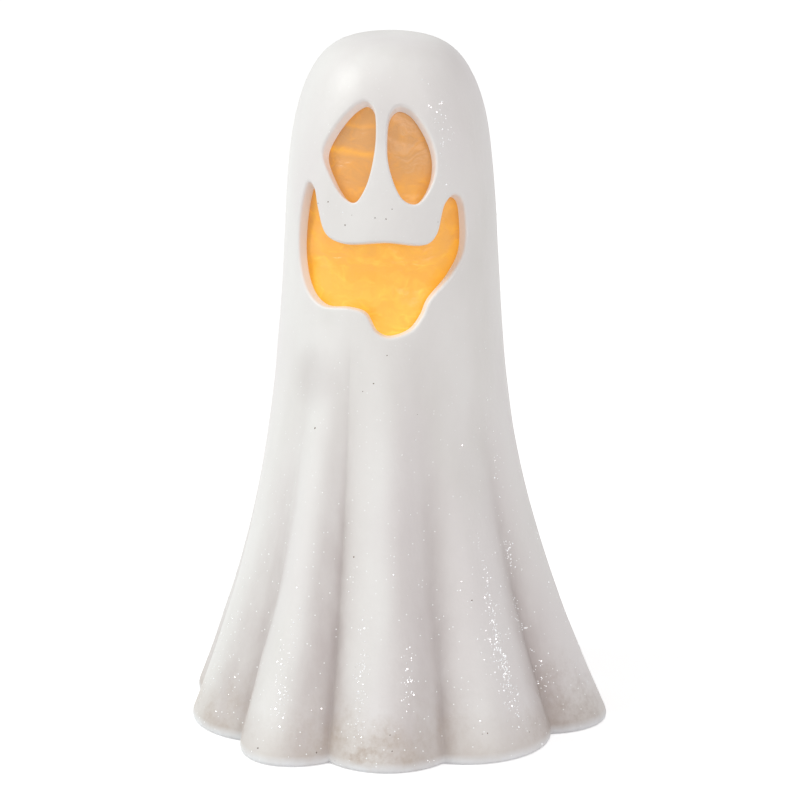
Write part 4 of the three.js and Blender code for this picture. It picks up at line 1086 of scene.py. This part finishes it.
class GHOST_OT_film(bpy.types.Operator):
    """Makes the crumpled film behind the face"""

    bl_idname = "ghost.film"
    bl_label = "Lit film"

    def execute(self, context):
        body, film = values("ghost_body"), values("ghost_film")
        columns, rows = 110, 126
        broad, fine, depth = 6 * MM, 2.6 * MM, 0.4 * MM  # sizes and depth of the small crumples
        deselect()
        bpy.ops.mesh.primitive_grid_add(x_subdivisions=columns, y_subdivisions=rows, size=1)
        sheet = context.object
        flat = coordinates(sheet.data)
        across = flat[:, 0] * 2 * film.half_width
        z = body.height - film.top + (flat[:, 1] - 0.5) * (film.bottom - film.top)
        angle = across / body.neck_radius
        # Broad creases: wavering ones across, and some that rise to one side
        a, h = across / MM, z / MM
        run = np.abs(np.sin(0.2 * h + 1.1 * np.sin(0.11 * a)))
        cross = np.abs(np.sin(0.13 * a + 0.07 * h))
        crease = film.crease * (0.6 * (1 - run) + 0.4 * (1 - cross))
        wall = surface_radius(angle, z, body.wall, rounding=INNER_ROUNDING)
        points = around(wall - film.clearance - crease, angle, z)
        inwards = around(wall - 1, angle, z) - around(wall, angle, z)
        crumples = [
            0.5 + 0.5 * noise.noise(Vector(p) / broad) + 0.25 * abs(noise.noise(Vector(p) / fine))
            for p in points
        ]
        place_vertices(sheet.data, points + inwards * (np.array(crumples) * depth)[:, None])
        thick = sheet.modifiers.new("thickness", "SOLIDIFY")
        thick.thickness = film.thickness
        thick.offset = -1
        only(sheet)
        bpy.ops.object.modifier_apply(modifier="thickness")
        finished(sheet, "lit_film", "ghost", film_material(), "face_film", slot="film", smooth=60)
        return {"FINISHED"}


def scatter_flakes(source, places, radii, tilt, sink, seed):
    """Copies a small shape onto the outside at each place, sunk in and turned and tilted at random"""
    chance = np.random.default_rng(seed)
    angle, z = places[:, 0], places[:, 1]
    body = values("ghost_body")
    base = outside_points(np.stack([angle * body.neck_radius / MM, z / MM], axis=1))
    normal = surface_normals(angle, z)
    normal += chance.normal(0, tilt, normal.shape)
    normal /= np.linalg.norm(normal, axis=1)[:, None]
    side = np.cross(normal, chance.normal(0, 1, normal.shape))
    side /= np.linalg.norm(side, axis=1)[:, None]
    other = np.cross(normal, side)
    shape = coordinates(source.data)
    faces = [tuple(p.vertices) for p in source.data.polygons]
    points = (base - normal * sink)[:, None]
    for axis, direction in enumerate((side, other, normal)):
        points = points + direction[:, None] * (shape[None, :, axis, None] * radii[:, None, None])
    count = len(shape)
    all_faces = [tuple(v + k * count for v in face) for k in range(len(places)) for face in faces]
    mesh = bpy.data.meshes.new("flakes")
    mesh.from_pydata(points.reshape(-1, 3).tolist(), [], all_faces)
    bpy.data.objects.remove(source)
    return linked("flakes", mesh)


def off_the_face(angle, z):
    """Which places lie clear of the face's cut-outs"""
    neck = values("ghost_body").neck_radius
    points = np.stack([angle * neck / MM, z / MM], axis=1)
    spacing, distance = 2.0, 0.4
    return np.all([curve_distance(points, curve) > distance for curve in face_outlines(spacing)], axis=0)


class GHOST_OT_glitter(bpy.types.Operator):
    """Scatters the glitter flakes in the coat, thickest on the ridges of the folds"""

    bl_idname = "ghost.glitter"
    bl_label = "Glitter"

    def execute(self, context):
        finish, body = values("ghost_finish"), values("ghost_body")
        chance = np.random.default_rng(31)
        found = []
        for degrees, height, spread, rise, count in GLITTER_PATCHES:
            angle = np.radians(degrees + chance.normal(0, spread, count))
            found.append(np.stack([angle, (height + chance.normal(0, rise, count)) * MM], axis=1))
        angle = chance.uniform(-math.pi, math.pi, finish.flakes)
        found.append(np.stack([angle, body.height * chance.beta(0.9, 3.0, finish.flakes)], axis=1))
        places = np.vstack(found)
        places[:, 1] = np.clip(places[:, 1], 2 * MM, body.height * 0.985)
        places = places[off_the_face(places[:, 0], places[:, 1])]
        # One flake of radius 1: a thin six-sided plate with a bevelled edge
        deselect()
        bpy.ops.mesh.primitive_cylinder_add(vertices=6, radius=1, depth=0.16, end_fill_type="NGON")
        flake = context.object
        edit_whole(bpy.ops.mesh.bevel, offset=0.05, segments=1)
        radii = finish.flake_radius * chance.lognormal(0, 0.28, len(places))
        flakes = scatter_flakes(flake, places, radii, tilt=0.22, sink=-0.03 * MM, seed=7)
        finished(flakes, "glitter", "ghost", flake_material(), slot="shell", smooth=5)
        return {"FINISHED"}


class GHOST_OT_dust(bpy.types.Operator):
    """Lays the dark dust specks in the coat"""

    bl_idname = "ghost.dust"
    bl_label = "Dust specks"

    def execute(self, context):
        chance = np.random.default_rng(5)
        places = np.array([(math.radians(a), h * MM) for a, h in DUST])
        deselect()
        bpy.ops.mesh.primitive_ico_sphere_add(subdivisions=1, radius=1)
        speck = context.object
        edit_whole(bpy.ops.transform.resize, value=(1, 0.7, 0.3))
        radii = values("ghost_finish").dust_radius * chance.uniform(0.6, 1.3, len(places))
        specks = scatter_flakes(speck, places, radii, tilt=0.05, sink=0.03 * MM, seed=9)
        finished(specks, "dust_specks", "ghost", dust_material(), slot="shell", smooth=60)
        return {"FINISHED"}


class GHOST_OT_bosses(bpy.types.Operator):
    """Makes the four studs inside the folds that take the base plate's screws"""

    bl_idname = "ghost.bosses"
    bl_label = "Screw bosses"

    def execute(self, context):
        body = values("ghost_body")
        bottom, rise, radius, pilot, deep, web_width = 6.3 * MM, 14 * MM, 4.5 * MM, 1.6 * MM, 11 * MM, 3 * MM
        parts = []
        for i in range(1, 5):
            low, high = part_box(f"base_screw_{i}")
            x, y = (low[0] + high[0]) / 2, (low[1] + high[1]) / 2
            angle = math.atan2(x - body.lean[0], body.lean[1] - y)
            reach = math.hypot(x - body.lean[0], y - body.lean[1])
            middle = (x, y, bottom + rise / 2)
            deselect()
            bpy.ops.mesh.primitive_cylinder_add(vertices=40, radius=radius, depth=rise, location=middle)
            stud = context.object
            bpy.ops.object.mode_set(mode="EDIT")
            bpy.ops.mesh.select_mode(type="FACE")
            bpy.ops.mesh.select_all(action="DESELECT")
            bm = bmesh.from_edit_mesh(stud.data)
            for face in bm.faces:
                face.select = face.normal.z < -0.9
            bmesh.update_edit_mesh(stud.data)
            bpy.ops.mesh.inset(thickness=radius - pilot)
            bpy.ops.mesh.extrude_region_move(TRANSFORM_OT_translate={"value": (0, 0, deep)})
            bpy.ops.object.mode_set(mode="OBJECT")
            settle(stud)
            deselect()
            bpy.ops.mesh.primitive_cube_add(size=1, location=middle, rotation=(0, 0, angle))
            web = context.object
            corners = coordinates(web.data)
            # The web's outer end leans in with the wall, and stays inside it
            low_end = float(seat_radius(np.array([angle]))[0]) + 1.2 * MM
            top_end = float(surface_radius(np.array([angle]), np.array([bottom + rise]))[0]) - 1.4 * MM
            end = np.where(corners[:, 2] > 0, top_end, low_end)
            out = np.where(corners[:, 1] > 0, reach + 0.8 * radius, end) - reach
            sides, ends = corners[:, 0] * web_width, corners[:, 2] * rise
            place_vertices(web.data, np.stack([sides, -out, ends], axis=1))
            settle(web)
            edit_whole(bpy.ops.mesh.bevel, offset=0.3 * MM, segments=2)
            parts += [stud, web]
        resin = moulded_material("bare_moulded_resin", "#E6DFD6", "#DAD2C8")
        finished(joined(parts), "screw_bosses", "ghost", resin, slot="shell")
        return {"FINISHED"}


class GHOST_OT_base(bpy.types.Operator):
    """Finishes the base plate, the battery door and the lamp's post"""

    bl_idname = "ghost.base"
    bl_label = "Base and door"

    def execute(self, context):
        plastic = moulded_material("moulded_abs_base", "#E4E1DA", "#DAD6CE")
        give(plastic, "base_plate", "lamp_post")
        give(moulded_material("moulded_abs_door", "#E2DFD8", "#D8D4CC", 0.46), "battery_door")
        return {"FINISHED"}


class GHOST_OT_fasteners(bpy.types.Operator):
    """Finishes the screws"""

    bl_idname = "ghost.fasteners"
    bl_label = "Screws"

    def execute(self, context):
        zinc = plated_material("zinc_plated_steel", "#C3C6CA", "#A9ADB2", 0.34)
        give(zinc, *(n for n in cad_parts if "screw" in n))
        return {"FINISHED"}


class GHOST_OT_cells(bpy.types.Operator):
    """Finishes the three dry cells"""

    bl_idname = "ghost.cells"
    bl_label = "Cells"

    def execute(self, context):
        for index in (1, 2, 3):
            give(cell_material(index), f"battery_{index}")
        return {"FINISHED"}


def wound_tube(name, points, radius, material, node, slot):
    """A wire along a smooth line, with closed ends, that stands for a CAD node"""
    curve = bpy.data.curves.new(name, "CURVE")
    curve.dimensions = "3D"
    curve.bevel_depth = radius
    curve.bevel_resolution = 4
    curve.use_fill_caps = True
    spline = curve.splines.new("POLY")
    spline.points.add(len(points) - 1)
    spline.points.foreach_set("co", np.hstack([points, np.ones((len(points), 1))]).ravel())
    only(linked(name, curve))
    bpy.ops.object.convert(target="MESH")
    return finished(bpy.context.object, name, "ghost", material, node, slot=slot, smooth=40)


class GHOST_OT_contacts(bpy.types.Operator):
    """Makes the wound contact springs and finishes the contact plates"""

    bl_idname = "ghost.contacts"
    bl_label = "Contacts"

    def execute(self, context):
        nickel = plated_material("nickel_plated_steel", "#CFCBC0", "#B4B0A6", 0.26)
        give(nickel, *(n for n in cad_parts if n.startswith("contact_") and "spring" not in n))
        length, wire, root, tip, turns = 5.3 * MM, 0.35 * MM, 4.6 * MM, 2.9 * MM, 3.5
        for index in (1, 2, 3):
            low, high = (np.array(c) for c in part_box(f"contact_spring_{index}"))
            side = 1 if (low[0] + high[0]) / 2 < 0 else -1
            share = np.linspace(0, 1, 150)
            radius, angle = root + (tip - root) * share, share * turns * 2 * math.pi
            along = wire + (length - 2 * wire) * share
            start = low[0] if side > 0 else high[0]
            battery_low, battery_high = (np.array(c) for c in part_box(f"battery_{index}"))
            _, y, z = (battery_low + battery_high) / 2
            points = np.stack([
                start + side * along,
                y + side * radius * np.cos(angle),
                z + radius * np.sin(angle),
            ], axis=1)
            wound_tube(f"wound_spring_{index}", points, wire, nickel, f"contact_spring_{index}", "nickel")
        return {"FINISHED"}


class GHOST_OT_switch(bpy.types.Operator):
    """Finishes the slide switch"""

    bl_idname = "ghost.switch"
    bl_label = "Switch"

    def execute(self, context):
        give(plated_material("tinned_steel_frame", "#BFC2C4", "#A5A8AB", 0.3), "switch_frame")
        give(laminate_material(), "switch_insulator")
        tin = plated_material("tinned_pins", "#CFCBC0", "#B9B5AA", 0.3)
        give(tin, *(f"switch_pin_{i}" for i in (1, 2, 3)))
        give(moulded_material("black_nylon_lever", "#222225", "#1B1B1D", 0.42), "switch_lever")
        return {"FINISHED"}


class GHOST_OT_lamp(bpy.types.Operator):
    """Finishes the lamp on its post"""

    bl_idname = "ghost.lamp"
    bl_label = "Lamp"

    def execute(self, context):
        give(moulded_material("white_solder_mask", "#F1EFE6", "#E6E3D8", 0.4), "lamp_board")
        give(lens_material(), "led_lens")
        give(plated_material("tinned_leads", "#D2CFC6", "#BDB9AE", 0.25), "led_lead_1", "led_lead_2")
        give(moulded_material("black_chip_resin", "#2A2A2C", "#202022", 0.5), "resistor")
        return {"FINISHED"}


class GHOST_OT_wires(bpy.types.Operator):
    """Makes the three insulated wires from solder joint to solder joint"""

    bl_idname = "ghost.wires"
    bl_label = "Wires"

    def execute(self, context):
        body = values("ghost_body")
        finishes = {
            "red": moulded_material("red_pvc_insulation", "#B3241F", "#A01E1A", 0.42, depth=0.00003),
            "black": moulded_material("black_pvc_insulation", "#1F1F22", "#17171A", 0.42, depth=0.00003),
        }
        ends = []
        for node, colour, points in WIRES:
            route = (open_curve(points, 10) * MM) + np.array([*body.lean, 0])
            wound_tube(f"insulated_{node}", route, WIRE_RADIUS * MM, finishes[colour], node, colour)
            ends += [route[0], route[-1]]
        # A bead of solder at each end
        deselect()
        beads = []
        for place in ends:
            bpy.ops.mesh.primitive_uv_sphere_add(segments=20, ring_count=12, radius=0.85 * MM, location=place)
            context.object.scale = (1, 1, 1.25)
            beads.append(context.object)
        solder = plated_material("tin_solder", "#D4D3CE", "#BFBDB6", 0.2)
        finished(joined(beads), "solder_joints", "ghost", solder, slot="nickel", smooth=60)
        return {"FINISHED"}


def seen_directly(tree):
    """1 on the rays that show white: the camera's, and those mirrored in gloss or seen through glass"""
    path = add(tree, "ShaderNodeLightPath")
    rays = [path.outputs[f"Is {kind} Ray"] for kind in ("Camera", "Glossy", "Transmission")]
    direct = add(tree, "ShaderNodeMath", {0: rays[0], 1: rays[1]}, operation="MAXIMUM")
    return add(tree, "ShaderNodeMath", {0: direct, 1: rays[2]}, operation="MAXIMUM")


class GHOST_OT_stage(bpy.types.Operator):
    """Sets the floor, the soft light and the camera"""

    bl_idname = "ghost.stage"
    bl_label = "Stage"

    def execute(self, context):
        stage, body = values("ghost_stage"), values("ghost_body")
        scene = context.scene
        scene.view_settings.view_transform = "Standard"
        # The floor lies a hair lower than the hem, so that the two don't flicker from below
        deselect()
        bpy.ops.mesh.primitive_circle_add(vertices=96, radius=6, fill_type="NGON", location=(0, 0, -0.1 * MM))
        floor = context.object
        floor.name = "floor"
        floor.data.materials.append(self.floor_material())
        self.light_world(scene)
        self.add_lamp("key", (-2.0, -0.85, 1.85), 1.0, 34.0, "#FBFFFC")
        self.add_lamp("fill", (1.2, -1.6, 1.2), 1.4, 12.0, "#FFF6F6")
        camera_data = bpy.data.cameras.new("camera")
        camera_data.lens = stage.lens
        camera_data.sensor_width = 36
        camera_data.shift_x, camera_data.shift_y = stage.shift
        camera = bpy.data.objects.new("camera", camera_data)
        scene.collection.objects.link(camera)
        look = Vector((body.lean[0], body.lean[1], body.height / 2))
        level, turn = math.cos(stage.elevation), stage.azimuth
        away = Vector((level * math.sin(turn), -level * math.cos(turn), math.sin(stage.elevation)))
        camera.location = look + away * stage.distance
        camera.rotation_euler = (-away).to_track_quat("-Z", "Y").to_euler()
        scene.camera = camera
        return {"FINISHED"}

    def floor_material(self):
        # Matt white paper. The camera sees it as white, with the object's own shadow kept, and from
        # below it is clear, so that the underside shows.
        material = bpy.data.materials.new("white_paper_floor")
        material.use_nodes = True
        tree = material.node_tree
        tree.nodes.clear()
        paper = add(tree, "ShaderNodeBsdfDiffuse", {"Color": grey(0.8)})
        seen = add(tree, "ShaderNodeEmission", {"Color": grey(1), "Strength": 0.55})
        both = add(tree, "ShaderNodeAddShader", {0: paper, 1: seen})
        shown = add(tree, "ShaderNodeMixShader", {0: seen_directly(tree), 1: paper, 2: both})
        clear = add(tree, "ShaderNodeBsdfTransparent")
        under = add(tree, "ShaderNodeNewGeometry").outputs["Backfacing"]
        sided = add(tree, "ShaderNodeMixShader", {0: under, 1: shown, 2: clear})
        add(tree, "ShaderNodeOutputMaterial", {"Surface": sided})
        return material

    def light_world(self, scene):
        world = bpy.data.worlds.new("soft_white_room")
        scene.world = world
        world.use_nodes = True
        tree = world.node_tree
        tree.nodes.clear()
        room = add(tree, "ShaderNodeBackground", {"Color": linear("#FFFFFF"), "Strength": 0.475})
        white = add(tree, "ShaderNodeBackground", {"Color": grey(1), "Strength": 1.0})
        shown = add(tree, "ShaderNodeMixShader", {0: seen_directly(tree), 1: room, 2: white})
        add(tree, "ShaderNodeOutputWorld", {"Surface": shown})

    def add_lamp(self, name, place, size, power, colour):
        data = bpy.data.lights.new(name, "AREA")
        data.shape = "DISK"
        data.size = size
        data.energy = power
        data.color = linear(colour)[:3]
        lamp = bpy.data.objects.new(name, data)
        bpy.context.scene.collection.objects.link(lamp)
        lamp.location = place
        aim = Vector((0, 0, 0.12)) - Vector(place)
        lamp.rotation_euler = aim.to_track_quat("-Z", "Y").to_euler()


class GHOST_PT_sidebar(bpy.types.Panel):
    """Lists the ghost's sizes and the steps that build it"""

    bl_label = "Light-up Ghost"
    bl_idname = "GHOST_PT_sidebar"
    bl_space_type = "VIEW_3D"
    bl_region_type = "UI"
    bl_category = "Ghost"

    def draw(self, context):
        for group, title in GROUPS:
            box = self.layout.box()
            box.label(text=title)
            owner = getattr(context.scene, group)
            for key in owner.bl_rna.properties.keys():
                if key not in ("rna_type", "name"):
                    box.prop(owner, key)
        for operator in OPERATORS:
            self.layout.operator(operator.bl_idname)


GROUPS = [
    ("ghost_body", "Draped body"),
    ("ghost_film", "Film"),
    ("ghost_finish", "Coat"),
    ("ghost_stage", "Stage"),
]
GROUP_CLASSES = [GhostBodyValues, GhostFilmValues, GhostFinishValues, GhostStageValues]
OPERATORS = [
    GHOST_OT_stage,
    GHOST_OT_shell,
    GHOST_OT_film,
    GHOST_OT_glitter,
    GHOST_OT_dust,
    GHOST_OT_bosses,
    GHOST_OT_base,
    GHOST_OT_fasteners,
    GHOST_OT_cells,
    GHOST_OT_contacts,
    GHOST_OT_switch,
    GHOST_OT_lamp,
    GHOST_OT_wires,
]


def register():
    for group in GROUP_CLASSES:
        bpy.utils.register_class(group)
    for (name, _), group in zip(GROUPS, GROUP_CLASSES):
        setattr(bpy.types.Scene, name, PointerProperty(type=group))
    for operator in OPERATORS:
        bpy.utils.register_class(operator)
    bpy.utils.register_class(GHOST_PT_sidebar)


def unregister():
    bpy.utils.unregister_class(GHOST_PT_sidebar)
    for operator in reversed(OPERATORS):
        bpy.utils.unregister_class(operator)
    for (name, _), group in reversed(list(zip(GROUPS, GROUP_CLASSES))):
        delattr(bpy.types.Scene, name)
        bpy.utils.unregister_class(group)


def main():
    register()
    bpy.ops.ghost.stage()
    bpy.ops.ghost.shell()
    bpy.ops.ghost.film()
    bpy.ops.ghost.glitter()
    bpy.ops.ghost.dust()
    bpy.ops.ghost.bosses()
    bpy.ops.ghost.base()
    bpy.ops.ghost.fasteners()
    bpy.ops.ghost.cells()
    bpy.ops.ghost.contacts()
    bpy.ops.ghost.switch()
    bpy.ops.ghost.lamp()
    bpy.ops.ghost.wires()


if __name__ == "__main__":
    main()
